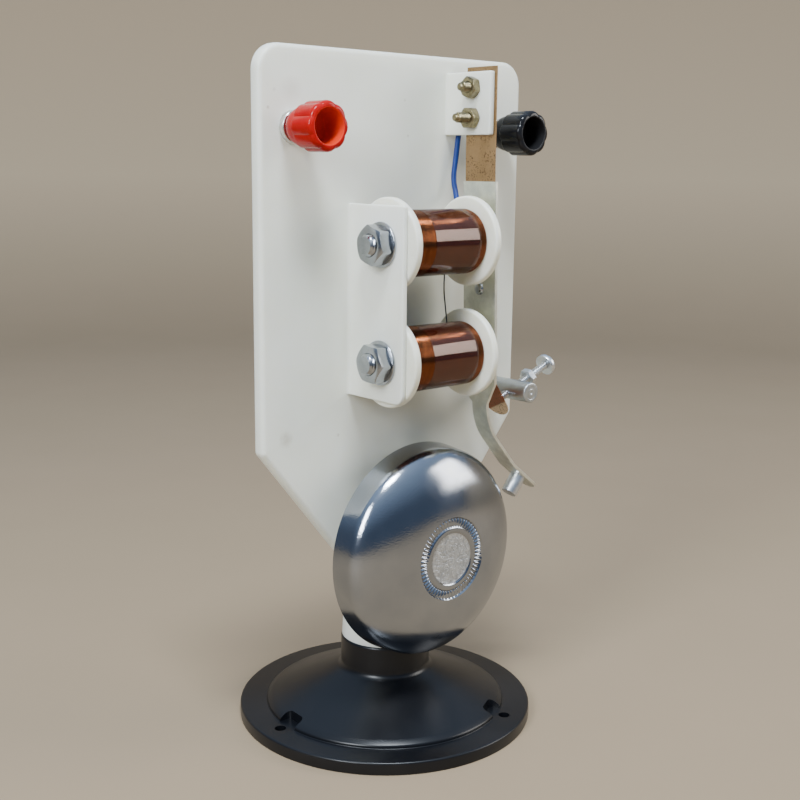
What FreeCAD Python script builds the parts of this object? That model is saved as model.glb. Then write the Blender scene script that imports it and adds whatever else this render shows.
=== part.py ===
"""Electric bell demonstrator for the classroom, as an assembly of separate pieces.

Millimetres. X to the right, Y to the back, Z up. The origin is the centre of the foot's underside.
The panel stands upright and faces -Y. The armature hangs from a leaf spring at the right of the
two coils and swings towards them, so that the clapper at the end of its arm strikes the gong.
"""
import FreeCAD, Part
import math
import os

# ---------------------------------------------------------------- foot
foot_diameter = 90.0
foot_edge_height = 3.8
foot_wall = 2.4
cone_foot_diameter = 73.6
cone_shoulder_height = 1.9
cone_shoulder_inset = 1.5
neck_foot_height = 15.0
neck_diameter = 27.4
neck_top_height = 24.6
neck_wall = 1.6
neck_foot_fillet = 2.2
neck_rim_chamfer = 0.8
foot_edge_round = 0.6
foot_hole_count = 3
foot_hole_circle = 78.0
foot_hole_diameter = 3.4
foot_hole_first_angle = 177.5
cone_edge_share = 0.45
screw_pocket_diameter = 7.6

# ---------------------------------------------------------------- panel
panel_width = 97.5
panel_thickness = 4.5
panel_front = -5.0
panel_top = 198.0
panel_corner_radius = 7.0
panel_edge_round = 1.4
taper_top_height = 89.0
taper_foot_height = 45.0
taper_foot_width = 26.0
stem_diameter = 26.8
stem_top_diameter = 25.4
stem_top_height = 38.0
stem_crown_rise = 3.2
stem_bulge_across = 0.72
stem_bulge_rise = 0.7
plug_clearance = 0.1
plug_wall = 2.4
plug_depth = 15.5

# ---------------------------------------------------------------- coil bracket and clamp ear
mechanism_y = -19.0
bracket_left = -18.85
bracket_thickness = 1.6
bracket_below_coil = 10.9
bracket_above_coil = 10.7
bracket_reach = 22.9
ear_left = 17.5
ear_thickness = 1.8
ear_foot_height = 175.8
ear_height = 17.6
ear_reach = 17.9
web_fillet = 1.2

# ---------------------------------------------------------------- coils
coil_upper_height = 145.9
coil_pitch = 32.3
bobbin_length = 32.05
bobbin_flange_diameter = 25.6
bobbin_flange_thickness = 2.3
bobbin_flange_round = 0.7
bobbin_barrel_diameter = 10.6
core_diameter = 8.0
core_clearance = 0.1
core_stub_diameter = 6.0
core_stub_length = 7.6
pole_projection = 1.3
pole_chamfer = 0.6
winding_diameter = 18.4
winding_end_gap = 0.05
film_thickness = 0.12
film_left_margin = 7.95
film_right_margin = 2.5
washer_thickness = 0.8
washer_diameter = 12.5
core_nut_flats = 10.0
core_nut_thickness = 3.8
core_nut_turns = (12.0, 25.0)
hole_clearance = 0.2
link_wire_diameter = 0.4
link_wire_inset = 9.4

# ---------------------------------------------------------------- leaf spring, armature, hammer
leaf_y = -17.65
leaf_thickness = 0.3
leaf_width = 12.05
leaf_above_ear = 1.4
leaf_bend_height = 106.0
leaf_narrow_height = 116.5
tab_angle = 33.4
tab_width = 10.4
tab_centre_drop = 11.3
hinge_height = 169.0
hammer_lean = 1.6
armature_y = -18.35
armature_width = 13.2
armature_thickness = 1.0
armature_top_height = 162.7
armature_corner_height = 100.6
armature_chamfer_height = 104.0
arm_y = -18.6
arm_width = 6.2
arm_start_height = 97.5
arm_first_radius = 19.0
arm_first_turn = 39.0
arm_straight = 10.5
arm_second_radius = 16.0
arm_second_turn = 11.0
arm_end_length = 13.0
clapper_diameter = 5.0
clapper_length = 6.4
clapper_edge_chamfer = 0.25
clapper_from_bend = 5.4
clapper_shank_diameter = 2.4
clapper_rivet_diameter = 3.5
clapper_rivet_height = 0.7
rivet_diameter = 2.2
rivet_head_diameter = 3.6
rivet_head_height = 0.8
rivet_crown_diameter = 2.2
rivet_edge_height = 0.28
rivet_heights = (152.4, 131.7)
clamp_y = -16.0
clamp_screw_rises = (13.2, 4.7)
clamp_screw_projections = (5.6, 7.3)
clamp_screw_diameter = 3.0
clamp_screw_tip_chamfer = 0.5
clamp_head_diameter = 5.6
clamp_head_height = 1.9
clamp_nut_flats = 5.5
clamp_nut_thickness = 2.4
clamp_nut_turns = (10.0, 28.0)
slot_width = 0.8
slot_depth = 0.9
slot_depth_share = 0.5
head_crown_share = 0.45

# ---------------------------------------------------------------- contact post and screw
post_x = 35.4
post_height = 99.8
post_diameter = 6.2
post_length = 20.65
post_end_chamfer = 0.4
contact_screw_angle = 22.6
contact_screw_diameter = 2.5
contact_screw_reach = 15.5
contact_tip_diameter = 0.6
contact_tip_height = 1.2
contact_gap = 0.15
contact_head_diameter = 6.6
contact_head_height = 2.3
lock_nut_flats = 5.0
lock_nut_thickness = 1.8
lock_nut_offset = 6.8
lock_nut_turn = 30.0
thread_clearance = 0.05
post_screw_diameter = 3.0
post_screw_clearance = 0.02
post_screw_engagement = 8.0
post_screw_head_diameter = 5.6
post_screw_head_height = 2.0
post_washer_diameter = 7.0
post_washer_thickness = 0.6

# ---------------------------------------------------------------- gong
gong_height = 55.8
gong_rim_y = -13.8
gong_diameter = 63.2
gong_wall = 0.8
gong_skirt_length = 5.8
gong_skirt_draft = 0.5
gong_shoulder_radius = 5.7
gong_shoulder_across = 0.3
gong_shoulder_forward = 0.62
gong_shoulder_rise = 0.98
gong_dome_share = 0.66
gong_face_y = -29.4
gong_ring_radius = 12.3
gong_ring_depth = 0.5
gong_step_radius = 9.2
gong_disc_radius = 7.9
gong_disc_depth = 0.35
gong_post_diameter = 7.0
gong_thread_diameter = 4.0
gong_thread_length = 10.0
gong_seat_gap = 0.1

# ---------------------------------------------------------------- terminals
terminal_x = 38.1
terminal_height = 176.7
collar_diameter = 8.8
collar_length = 1.9
cap_gap = 0.2
cap_length = 13.9
cap_rear_diameter = 10.4
cap_rear_round = 2.5
cap_front_diameter = 13.0
cap_front_length = 8.7
cap_front_chamfer = 0.5
cap_step_height = 0.8
lobe_count = 8
lobe_radius = 2.6
recess_diameter = 9.4
recess_depth = 7.6
recess_draft = 0.3
cap_web = 1.0
insert_diameter = 6.0
insert_clearance = 0.04
insert_end_gap = 0.4
stud_diameter = 4.0
stud_clearance = 0.05
stud_projection_rear = 9.0
stud_end_chamfer = 0.4
stud_entry_clearance = 0.3
cap_rear_wall = 0.9
terminal_washer_diameter = 9.0
terminal_washer_thickness = 0.8
terminal_nut_flats = 7.0
terminal_nut_thickness = 3.0
tag_thickness = 0.5
tag_width = 5.0
tag_length = 13.0
tag_ring_diameter = 8.4
tag_eye_diameter = 2.2
tag_eye_rise = 2.25
bell_nut_flats = 7.0
bell_nut_thickness = 3.2
bell_washer_diameter = 9.0
bell_washer_thickness = 0.8

# ---------------------------------------------------------------- lead
lead_diameter = 1.6
lead_core_diameter = 0.7
lead_core_clearance = 0.02
lead_gap = 0.1
lead_start_back = 3.9
lead_start_rise = 5.8
lead_turn_out = 3.4
lead_turn_rise = 5.4
lead_bend_share = 0.45
lead_core_back = 0.3
# Each bend of the lead: right of the leaf, out from the panel, up from the ear's foot.
lead_bends = ((0.9, 2.2, 0.4), (0.25, 2.0, -6.6), (-0.8, 2.0, -12.6), (-1.0, 3.9, -17.6))
# Where the lead meets the upper coil's flange: behind the coil's axis and above it.
lead_coil_back = 6.4
lead_coil_rise = 7.7
lead_core_drop = 1.6
lead_core_forward = 0.6

# ---------------------------------------------------------------- modelling allowances
overrun = 1.0
match = 0.01

# ---------------------------------------------------------------- worked out from the above
panel_back = panel_front + panel_thickness
bracket_right = bracket_left + bracket_thickness
ear_right = ear_left + ear_thickness
ear_top_height = ear_foot_height + ear_height
clamp_screw_heights = [ear_foot_height + rise for rise in clamp_screw_rises]
bobbin_left = bracket_right
bobbin_right = bobbin_left + bobbin_length
coil_lower_height = coil_upper_height - coil_pitch
bracket_foot_height = coil_lower_height - bracket_below_coil
bracket_top_height = coil_upper_height + bracket_above_coil
pole_face = bobbin_right + pole_projection
leaf_left = ear_right
leaf_right = leaf_left + leaf_thickness
armature_right = leaf_left
armature_left = armature_right - armature_thickness
neck_radius = neck_diameter / 2
neck_bore_radius = neck_radius - neck_wall
plug_radius = neck_bore_radius - plug_clearance
leaf_top_height = ear_top_height + leaf_above_ear
cap_rear_y = panel_front - collar_length - cap_gap
cap_front_y = cap_rear_y - cap_length
stud_tip_y = cap_front_y + recess_depth + cap_web + insert_end_gap
screw_sin = math.sin(math.radians(contact_screw_angle))
screw_cos = math.cos(math.radians(contact_screw_angle))
leaf_lean = math.radians(hammer_lean)
tab_lean = math.radians(hammer_lean + tab_angle)

X_AXIS = FreeCAD.Vector(1, 0, 0)
Y_AXIS = FreeCAD.Vector(0, 1, 0)
Z_AXIS = FreeCAD.Vector(0, 0, 1)
nodes = {}


def vec(x, y, z):
    return FreeCAD.Vector(x, y, z)


def cylinder(radius, start, direction, length):
    """A cylinder from start along direction."""
    return Part.makeCylinder(radius, length, start, direction)


def tube(outer_radius, inner_radius, start, direction, length):
    """A cylinder with a through bore."""
    bore = drill(inner_radius, start, direction, length)
    return cylinder(outer_radius, start, direction, length).cut(bore)


def drill(radius, start, direction, length):
    """A cutting cylinder that runs past both ends of its length."""
    return cylinder(radius, start - direction * overrun, direction, length + 2 * overrun)


def revolve_z(points, turn=360.0):
    """A closed outline of (radius, z) points turned about the Z axis."""
    wire = Part.makePolygon([vec(r, 0, z) for r, z in points + points[:1]])
    return Part.Face(wire).revolve(vec(0, 0, 0), Z_AXIS, turn)


def along(shape, start, direction):
    """Moves a shape that was made along +Z from the origin to start, pointing along direction."""
    turn = FreeCAD.Rotation(Z_AXIS, direction)
    placed = shape.copy()
    placed.Placement = FreeCAD.Placement(start, turn)
    return placed


def plate_xz(edges, y_front, thickness):
    """A plate whose outline lies in the XZ plane, from y_front towards the back."""
    face = Part.Face(Part.Wire(edges))
    face.translate(vec(0, y_front, 0))
    return face.extrude(Y_AXIS * thickness)


def hex_prism(flats, thickness, start, direction, across=None):
    """A hexagonal prism whose outer corners are rounded off as on a nut."""
    corner_radius = flats / math.sqrt(3)
    corners = []
    for index in range(7):
        angle = math.radians(60 * index)
        corners.append(vec(corner_radius * math.cos(angle), corner_radius * math.sin(angle), 0))
    prism = Part.Face(Part.makePolygon(corners)).extrude(Z_AXIS * thickness)
    bevel = corner_radius - flats / 2
    slope = bevel * math.tan(math.radians(30))
    barrel = revolve_z([
        (0, 0), (flats / 2, 0), (corner_radius, slope), (corner_radius, thickness - slope),
        (flats / 2, thickness), (0, thickness),
    ])
    body = prism.common(barrel)
    if across is not None:
        body.rotate(vec(0, 0, 0), Z_AXIS, across)
    return along(body, start, direction)


def nut(flats, thickness, bore_radius, start, direction, across=None):
    """A hex nut with its bore along direction."""
    bore = drill(bore_radius, start, direction, thickness)
    return hex_prism(flats, thickness, start, direction, across).cut(bore)


def pan_head(diameter, height, start, direction):
    """A screw's pan head with a straight slot, its flat side at start."""
    radius = diameter / 2
    crown = head_crown_share * min(height, radius)
    profile = [(0, 0), (radius, 0), (radius, height - crown), (radius - crown, height), (0, height)]
    head = revolve_z(profile)
    slot_floor = height - min(slot_depth, height * slot_depth_share)
    slot = Part.makeBox(diameter * 2, slot_width, height, vec(-diameter, -slot_width / 2, slot_floor))
    return along(head.cut(slot), start, direction)


def add(name, shape):
    """Files one node. A group of identical pieces is one compound of separate solids."""
    nodes[name] = shape


def group(shapes):
    return Part.makeCompound(shapes)


# ================================================================ foot
def foot_profile():
    """The foot's section: flange, cone with a rounded shoulder, and neck tube over a hollow."""
    radius = foot_diameter / 2
    cone_radius = cone_foot_diameter / 2
    shoulder_radius = cone_radius - cone_shoulder_inset
    shoulder_height = foot_edge_height + cone_shoulder_height
    neck_foot_radius = neck_radius
    rise = neck_foot_height - shoulder_height
    run = shoulder_radius - neck_foot_radius
    wall_drop = foot_wall * math.hypot(rise, run) / run
    inner_foot_radius = shoulder_radius - foot_wall
    inner_slope = rise / run
    inner_top_radius = neck_bore_radius
    inner_top = shoulder_height + (shoulder_radius - inner_top_radius) * inner_slope - wall_drop
    inner_foot = shoulder_height + (shoulder_radius - inner_foot_radius) * inner_slope - wall_drop
    return [
        (inner_foot_radius, 0), (radius, 0), (radius, foot_edge_height),
        (cone_radius, foot_edge_height),
        (cone_radius, foot_edge_height + cone_shoulder_height * cone_edge_share),
        (shoulder_radius, shoulder_height), (neck_foot_radius, neck_foot_height),
        (neck_radius, neck_top_height), (neck_bore_radius, neck_top_height),
        (inner_top_radius, inner_top), (inner_foot_radius, inner_foot),
    ]


def circle_edges(shape, radius, height):
    """The full round edges of a revolved shape at one radius and height."""
    found = []
    for edge in shape.Edges:
        curve = edge.Curve
        if isinstance(curve, Part.Circle) and abs(curve.Radius - radius) < match:
            if abs(curve.Center.z - height) < match:
                found.append(edge)
    return found


def make_foot():
    foot = revolve_z(foot_profile())
    foot = foot.makeFillet(neck_foot_fillet, circle_edges(foot, neck_radius, neck_foot_height))
    foot = foot.makeChamfer(neck_rim_chamfer, circle_edges(foot, neck_radius, neck_top_height))
    foot = foot.makeFillet(foot_edge_round, circle_edges(foot, foot_diameter / 2, foot_edge_height))
    for index in range(foot_hole_count):
        angle = math.radians(foot_hole_first_angle + 360.0 / foot_hole_count * index)
        x = foot_hole_circle / 2 * math.cos(angle)
        y = foot_hole_circle / 2 * math.sin(angle)
        foot = foot.cut(drill(foot_hole_diameter / 2, vec(x, y, 0), Z_AXIS, foot_edge_height))
        pocket = cylinder(screw_pocket_diameter / 2, vec(x, y, foot_edge_height), Z_AXIS, neck_top_height)
        foot = foot.cut(pocket)
    return foot


# ================================================================ panel
def panel_outline():
    """The panel's front outline: straight sides, rounded top corners, tapering lower half."""
    half = panel_width / 2
    foot_half = taper_foot_width / 2
    corner = panel_corner_radius
    top = panel_top
    diagonal = corner * (1 - math.sqrt(0.5))
    stem_top = stem_top_height
    points = [
        vec(-foot_half, 0, stem_top), vec(-foot_half, 0, taper_foot_height),
        vec(-half, 0, taper_top_height), vec(-half, 0, top - corner), vec(-half + corner, 0, top), vec(half - corner, 0, top),
        vec(half, 0, top - corner), vec(half, 0, taper_top_height), vec(foot_half, 0, taper_foot_height),
        vec(foot_half, 0, stem_top),
    ]
    left_arc = Part.Arc(points[3], vec(-half + diagonal, 0, top - diagonal), points[4])
    right_arc = Part.Arc(points[5], vec(half - diagonal, 0, top - diagonal), points[6])
    edges = [Part.LineSegment(points[i], points[i + 1]).toShape() for i in (0, 1, 2)]
    edges.append(left_arc.toShape())
    edges.append(Part.LineSegment(points[4], points[5]).toShape())
    edges.append(right_arc.toShape())
    edges += [Part.LineSegment(points[i], points[i + 1]).toShape() for i in (6, 7, 8)]
    edges.append(Part.LineSegment(points[9], points[0]).toShape())
    return edges


def rim_edges(plate, y_values):
    """The outline edges of the plate's front and back faces, apart from its foot."""
    found = []
    for edge in plate.Edges:
        box = edge.BoundBox
        flat = box.YLength < match
        on_face = any(abs(box.YMin - y) < match for y in y_values)
        if flat and on_face and box.ZMax > stem_top_height + match:
            found.append(edge)
    return found


def make_web(left, thickness, foot, top, reach):
    """A plate that stands out of the panel's front, in the YZ plane, from inside the panel."""
    root = panel_thickness / 2
    return Part.makeBox(thickness, reach + root, top - foot, vec(left, panel_front - reach, foot))


def web_root_edges(shape, left, thickness, foot, top):
    """The straight edges where a web meets the panel's front, on its two broad sides."""
    found = []
    for edge in shape.Edges:
        box = edge.BoundBox
        on_front = abs(box.YMin - panel_front) < match and box.YLength < match
        upright = box.XLength < match and abs(box.ZLength - (top - foot)) < match
        at_side = abs(box.XMin - left) < match or abs(box.XMin - left - thickness) < match
        if on_front and upright and at_side:
            found.append(edge)
    return found


def make_stem():
    """The round stem over the foot's neck, with a domed top, and the hollow plug in the neck."""
    radius = stem_diameter / 2
    top_radius = stem_top_diameter / 2
    start = vec(radius, 0, neck_top_height)
    shoulder = vec(top_radius, 0, stem_top_height)
    crown_height = taper_foot_height + stem_crown_rise
    crown = vec(0, 0, crown_height)
    bulge_height = stem_top_height + (crown_height - stem_top_height) * stem_bulge_rise
    bulge = vec(top_radius * stem_bulge_across, 0, bulge_height)
    edges = [
        Part.LineSegment(vec(0, 0, neck_top_height), start).toShape(),
        Part.LineSegment(start, shoulder).toShape(),
        Part.Arc(shoulder, bulge, crown).toShape(),
        Part.LineSegment(crown, vec(0, 0, neck_top_height)).toShape(),
    ]
    stem = Part.Face(Part.Wire(edges)).revolve(vec(0, 0, 0), Z_AXIS, 360)
    plug_foot = neck_top_height - plug_depth
    plug = cylinder(plug_radius, vec(0, 0, plug_foot), Z_AXIS, plug_depth + overrun)
    hollow_foot = vec(0, 0, plug_foot - overrun)
    hollow = cylinder(plug_radius - plug_wall, hollow_foot, Z_AXIS, plug_depth + overrun)
    return stem.fuse(plug).cut(hollow)


def make_panel():
    plate = plate_xz(panel_outline(), panel_front, panel_thickness)
    plate = plate.makeFillet(panel_edge_round, rim_edges(plate, (panel_front, panel_back)))
    bracket = make_web(
        bracket_left, bracket_thickness, bracket_foot_height, bracket_top_height, bracket_reach)
    ear = make_web(ear_left, ear_thickness, ear_foot_height, ear_top_height, ear_reach)
    panel = plate.fuse(bracket).fuse(ear)
    roots = web_root_edges(
        panel, bracket_left, bracket_thickness, bracket_foot_height, bracket_top_height)
    panel = panel.makeFillet(web_fillet, roots)
    panel = panel.fuse(make_stem()).removeSplitter()
    for height in (coil_upper_height, coil_lower_height):
        hole_radius = core_stub_diameter / 2 + hole_clearance
        start = vec(bracket_left, mechanism_y, height)
        panel = panel.cut(drill(hole_radius, start, X_AXIS, bracket_thickness))
    for height in clamp_screw_heights:
        hole_radius = clamp_screw_diameter / 2 + hole_clearance
        panel = panel.cut(drill(hole_radius, vec(ear_left, clamp_y, height), X_AXIS, ear_thickness))
    holes = [
        (-terminal_x, terminal_height, stud_diameter), (terminal_x, terminal_height, stud_diameter),
        (post_x, post_height, post_screw_diameter), (0, gong_height, gong_thread_diameter),
    ]
    for x, z, diameter in holes:
        start = vec(x, panel_front, z)
        panel = panel.cut(drill(diameter / 2 + hole_clearance, start, Y_AXIS, panel_thickness))
    return panel


# ================================================================ gong
def gong_section(inset):
    """Edges and corners of one side of the gong's wall, from the rim to the axis, moved in by inset.
    X is the radius, and Z runs forward from the rim to the face."""
    rim = gong_diameter / 2 - inset
    skirt = rim - gong_skirt_draft
    face = gong_rim_y - gong_face_y - inset
    shoulder = gong_shoulder_radius
    dome_start = vec(skirt - shoulder, 0, gong_skirt_length + shoulder * gong_shoulder_rise)
    ring_floor = face - gong_ring_depth
    disc_floor = face - gong_disc_depth
    corner = [
        vec(rim, 0, 0), vec(skirt, 0, gong_skirt_length), dome_start, vec(gong_ring_radius, 0, face),
        vec(gong_ring_radius - gong_ring_depth, 0, ring_floor),
        vec(gong_step_radius + gong_ring_depth, 0, ring_floor), vec(gong_step_radius, 0, face),
        vec(gong_disc_radius, 0, face), vec(gong_disc_radius - gong_disc_depth, 0, disc_floor),
        vec(0, 0, disc_floor),
    ]
    shoulder_bulge = vec(
        skirt - shoulder * gong_shoulder_across, 0, gong_skirt_length + shoulder * gong_shoulder_forward)
    dome_bulge = vec(
        (dome_start.x + gong_ring_radius) / 2, 0, dome_start.z + (face - dome_start.z) * gong_dome_share)
    edges = [
        Part.LineSegment(corner[0], corner[1]).toShape(),
        Part.Arc(corner[1], shoulder_bulge, corner[2]).toShape(),
        Part.Arc(corner[2], dome_bulge, corner[3]).toShape(),
    ]
    for index in range(3, len(corner) - 1):
        edges.append(Part.LineSegment(corner[index], corner[index + 1]).toShape())
    return edges, corner


def make_gong():
    outer, outer_points = gong_section(0)
    inner, inner_points = gong_section(gong_wall)
    closing_axis = Part.LineSegment(outer_points[-1], inner_points[-1]).toShape()
    closing_rim = Part.LineSegment(inner_points[0], outer_points[0]).toShape()
    wire = Part.Wire(Part.__sortEdges__(outer + [closing_axis] + inner + [closing_rim]))
    section = Part.Face(wire)
    gong = section.revolve(vec(0, 0, 0), Z_AXIS, 360)
    return along(gong, vec(0, gong_rim_y, gong_height), vec(0, -1, 0))


def make_gong_post():
    """The stand-off in the gong, with a thread that goes through the panel."""
    disc_inside = gong_face_y + gong_wall + gong_disc_depth + gong_seat_gap
    length = panel_front - disc_inside
    seat = vec(0, panel_front, gong_height)
    post = cylinder(gong_post_diameter / 2, vec(0, disc_inside, gong_height), Y_AXIS, length)
    thread = cylinder(gong_thread_diameter / 2, seat, Y_AXIS, gong_thread_length)
    return post.fuse(thread).removeSplitter()


# ================================================================ coils
def make_bobbin(height):
    """A bobbin along X: two rounded flanges on a barrel, bored for the core."""
    start = vec(bobbin_left, mechanism_y, height)
    flange_radius = bobbin_flange_diameter / 2
    right_start = vec(bobbin_right - bobbin_flange_thickness, mechanism_y, height)
    left = cylinder(flange_radius, start, X_AXIS, bobbin_flange_thickness)
    right = cylinder(flange_radius, right_start, X_AXIS, bobbin_flange_thickness)
    left = left.makeFillet(bobbin_flange_round, rim_circles(left, flange_radius))
    right = right.makeFillet(bobbin_flange_round, rim_circles(right, flange_radius))
    barrel = cylinder(bobbin_barrel_diameter / 2, start, X_AXIS, bobbin_length)
    bore = drill(core_diameter / 2 + core_clearance, start, X_AXIS, bobbin_length)
    return barrel.fuse(left).fuse(right).cut(bore)


def rim_circles(shape, radius):
    """The circular edges of a cylinder with this radius."""
    round_edges = [edge for edge in shape.Edges if isinstance(edge.Curve, Part.Circle)]
    return [edge for edge in round_edges if abs(edge.Curve.Radius - radius) < match]


def make_winding(height):
    start = vec(bobbin_left + bobbin_flange_thickness + winding_end_gap, mechanism_y, height)
    length = bobbin_length - 2 * bobbin_flange_thickness - 2 * winding_end_gap
    inner_radius = bobbin_barrel_diameter / 2
    return tube(winding_diameter / 2, inner_radius, start, X_AXIS, length)


def make_film(height):
    """Clear film wrapped round the winding, short of both ends."""
    left = bobbin_left + bobbin_flange_thickness + film_left_margin
    right = bobbin_right - bobbin_flange_thickness - film_right_margin
    radius = winding_diameter / 2
    start = vec(left, mechanism_y, height)
    return tube(radius + film_thickness, radius, start, X_AXIS, right - left)


def make_core(height):
    """An iron core with a chamfered pole face and a thinner threaded stub through the bracket."""
    radius = core_diameter / 2
    stub = core_stub_diameter / 2
    length = pole_face - bobbin_left
    profile = [
        (0, -core_stub_length), (stub - pole_chamfer, -core_stub_length),
        (stub, -core_stub_length + pole_chamfer), (stub, 0), (radius, 0),
        (radius, length - pole_chamfer), (radius - pole_chamfer, length), (0, length),
    ]
    return along(revolve_z(profile), vec(bobbin_left, mechanism_y, height), X_AXIS)


# ================================================================ spring, armature and hammer
def lean_out(shape):
    """Turns a piece of the hanging hammer about the hinge line, so that its foot leans to the right."""
    leaned = shape.copy()
    leaned.rotate(vec(leaf_left, 0, hinge_height), Y_AXIS, -hammer_lean)
    return leaned


def down_from(start, angle, distance):
    """A point in the XZ plane, a distance from start along a line that leans right by angle."""
    return vec(start.x + math.sin(angle) * distance, 0, start.z - math.cos(angle) * distance)


def leaf_route():
    """The leaf's left face in the XZ plane: top, hinge, shoulder, bend and the centre of its round end."""
    hinge = vec(leaf_left, 0, hinge_height)
    shoulder = down_from(hinge, leaf_lean, hinge_height - leaf_narrow_height)
    bend = down_from(hinge, leaf_lean, hinge_height - leaf_bend_height)
    end = down_from(bend, tab_lean, tab_centre_drop)
    return [vec(leaf_left, 0, leaf_top_height), hinge, shoulder, bend, end]


def strip(points, thickness, width, y_centre):
    """A bent strip: its left face runs through the points and its bends are mitred."""
    normals = []
    for index in range(len(points) - 1):
        run = points[index + 1] - points[index]
        normals.append(vec(-run.z, 0, run.x).normalize())
    far_side = [points[0] + normals[0] * thickness]
    for index in range(1, len(normals)):
        mitre = normals[index - 1] + normals[index]
        share = thickness / (1 + normals[index - 1].dot(normals[index]))
        far_side.append(points[index] + mitre * share)
    far_side.append(points[-1] + normals[-1] * thickness)
    outline = points + far_side[::-1] + points[:1]
    solid = Part.Face(Part.makePolygon(outline)).extrude(Y_AXIS * width)
    solid.translate(vec(0, y_centre - width / 2, 0))
    return solid


def make_leaf():
    """The copper leaf: clamped strip, riveted stretch and bent contact tab with a rounded end."""
    route = leaf_route()
    wide = strip(route[:3], leaf_thickness, leaf_width, leaf_y)
    narrow = strip(route[2:], leaf_thickness, tab_width, leaf_y)
    tab_normal = vec(math.cos(tab_lean), 0, math.sin(tab_lean))
    end = cylinder(tab_width / 2, route[4] + Y_AXIS * leaf_y, tab_normal, leaf_thickness)
    leaf = wide.fuse(narrow).fuse(end)
    for height in clamp_screw_heights:
        radius = clamp_screw_diameter / 2 + hole_clearance
        leaf = leaf.cut(drill(radius, vec(leaf_left, clamp_y, height), X_AXIS, leaf_thickness))
    for height in rivet_heights:
        rivet_hole = drill(rivet_diameter / 2, vec(leaf_left, armature_y, height), X_AXIS, leaf_thickness)
        leaf = leaf.cut(lean_out(rivet_hole))
    return leaf.removeSplitter()


def arm_path():
    """The arm's left face before it leans out, as (x, z, turn) at each end of its stretches. The
    last point is the centre of the rounded end."""
    x = armature_left
    z = arm_start_height
    first = math.radians(arm_first_turn)
    x1 = x + arm_first_radius * (1 - math.cos(first))
    z1 = z - arm_first_radius * math.sin(first)
    x2 = x1 + arm_straight * math.sin(first)
    z2 = z1 - arm_straight * math.cos(first)
    second = math.radians(arm_first_turn + arm_second_turn)
    x3 = x2 + arm_second_radius * (math.cos(first) - math.cos(second))
    z3 = z2 - arm_second_radius * (math.sin(second) - math.sin(first))
    last = arm_end_length - arm_width / 2
    x4 = x3 + last * math.sin(second)
    z4 = z3 - last * math.cos(second)
    return [(x, z, 0.0), (x1, z1, first), (x2, z2, first), (x3, z3, second), (x4, z4, second)]


def bent_strip_edges(offset):
    """Edges along the arm at one face of the strip, offset to its right-hand side."""
    path = arm_path()

    def shifted(point):
        return vec(point[0] + offset * math.cos(point[2]), 0, point[1] + offset * math.sin(point[2]))

    def middle(start, radius, turn_start, turn_end):
        turn = (turn_start + turn_end) / 2
        centre_x = start[0] + radius * math.cos(turn_start)
        centre_z = start[1] + radius * math.sin(turn_start)
        reach = radius - offset
        return vec(centre_x - reach * math.cos(turn), 0, centre_z - reach * math.sin(turn))

    ends = [shifted(point) for point in path]
    first_middle = middle(path[0], arm_first_radius, path[0][2], path[1][2])
    second_middle = middle(path[2], arm_second_radius, path[2][2], path[3][2])
    edges = [
        Part.Arc(ends[0], first_middle, ends[1]).toShape(),
        Part.LineSegment(ends[1], ends[2]).toShape(),
        Part.Arc(ends[2], second_middle, ends[3]).toShape(),
        Part.LineSegment(ends[3], ends[4]).toShape(),
    ]
    return edges, ends


def make_armature():
    """The iron strip: wide plate before the poles, tapered shoulder and curved hammer arm."""
    half = armature_width / 2
    arm_half = arm_width / 2
    front = armature_y - half
    back = armature_y + half
    outline = [
        vec(armature_left, front, armature_top_height), vec(armature_left, back, armature_top_height),
        vec(armature_left, back, armature_corner_height),
        vec(armature_left, arm_y + arm_half, arm_start_height),
        vec(armature_left, arm_y - arm_half, arm_start_height),
        vec(armature_left, front, armature_chamfer_height), vec(armature_left, front, armature_top_height),
    ]
    plate = Part.Face(Part.makePolygon(outline)).extrude(X_AXIS * armature_thickness)
    left_edges, left_ends = bent_strip_edges(0)
    right_edges, right_ends = bent_strip_edges(armature_thickness)
    start_cap = Part.LineSegment(left_ends[0], right_ends[0]).toShape()
    end_cap = Part.LineSegment(left_ends[-1], right_ends[-1]).toShape()
    wire = Part.Wire(Part.__sortEdges__(left_edges + right_edges + [start_cap, end_cap]))
    arm = Part.Face(wire).extrude(Y_AXIS * arm_width)
    arm.translate(Y_AXIS * (arm_y - arm_half))
    end_x, end_z, end_turn = arm_path()[-1]
    end_normal = vec(math.cos(end_turn), 0, math.sin(end_turn))
    round_end = cylinder(arm_half, vec(end_x, arm_y, end_z), end_normal, armature_thickness)
    armature = plate.fuse(arm).fuse(round_end)
    for height in rivet_heights:
        start = vec(armature_left, armature_y, height)
        armature = armature.cut(drill(rivet_diameter / 2, start, X_AXIS, armature_thickness))
    seat, outward = clapper_seat()
    shank_hole = drill(clapper_shank_diameter / 2, seat, outward, armature_thickness)
    return lean_out(armature.cut(shank_hole).removeSplitter())


def clapper_seat():
    """Where the clapper's axis meets the arm's left face, and the arm's outward normal there."""
    bend_end = arm_path()[3]
    turn = bend_end[2]
    x = bend_end[0] + clapper_from_bend * math.sin(turn)
    z = bend_end[1] - clapper_from_bend * math.cos(turn)
    return vec(x, arm_y, z), vec(math.cos(turn), 0, math.sin(turn))


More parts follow.
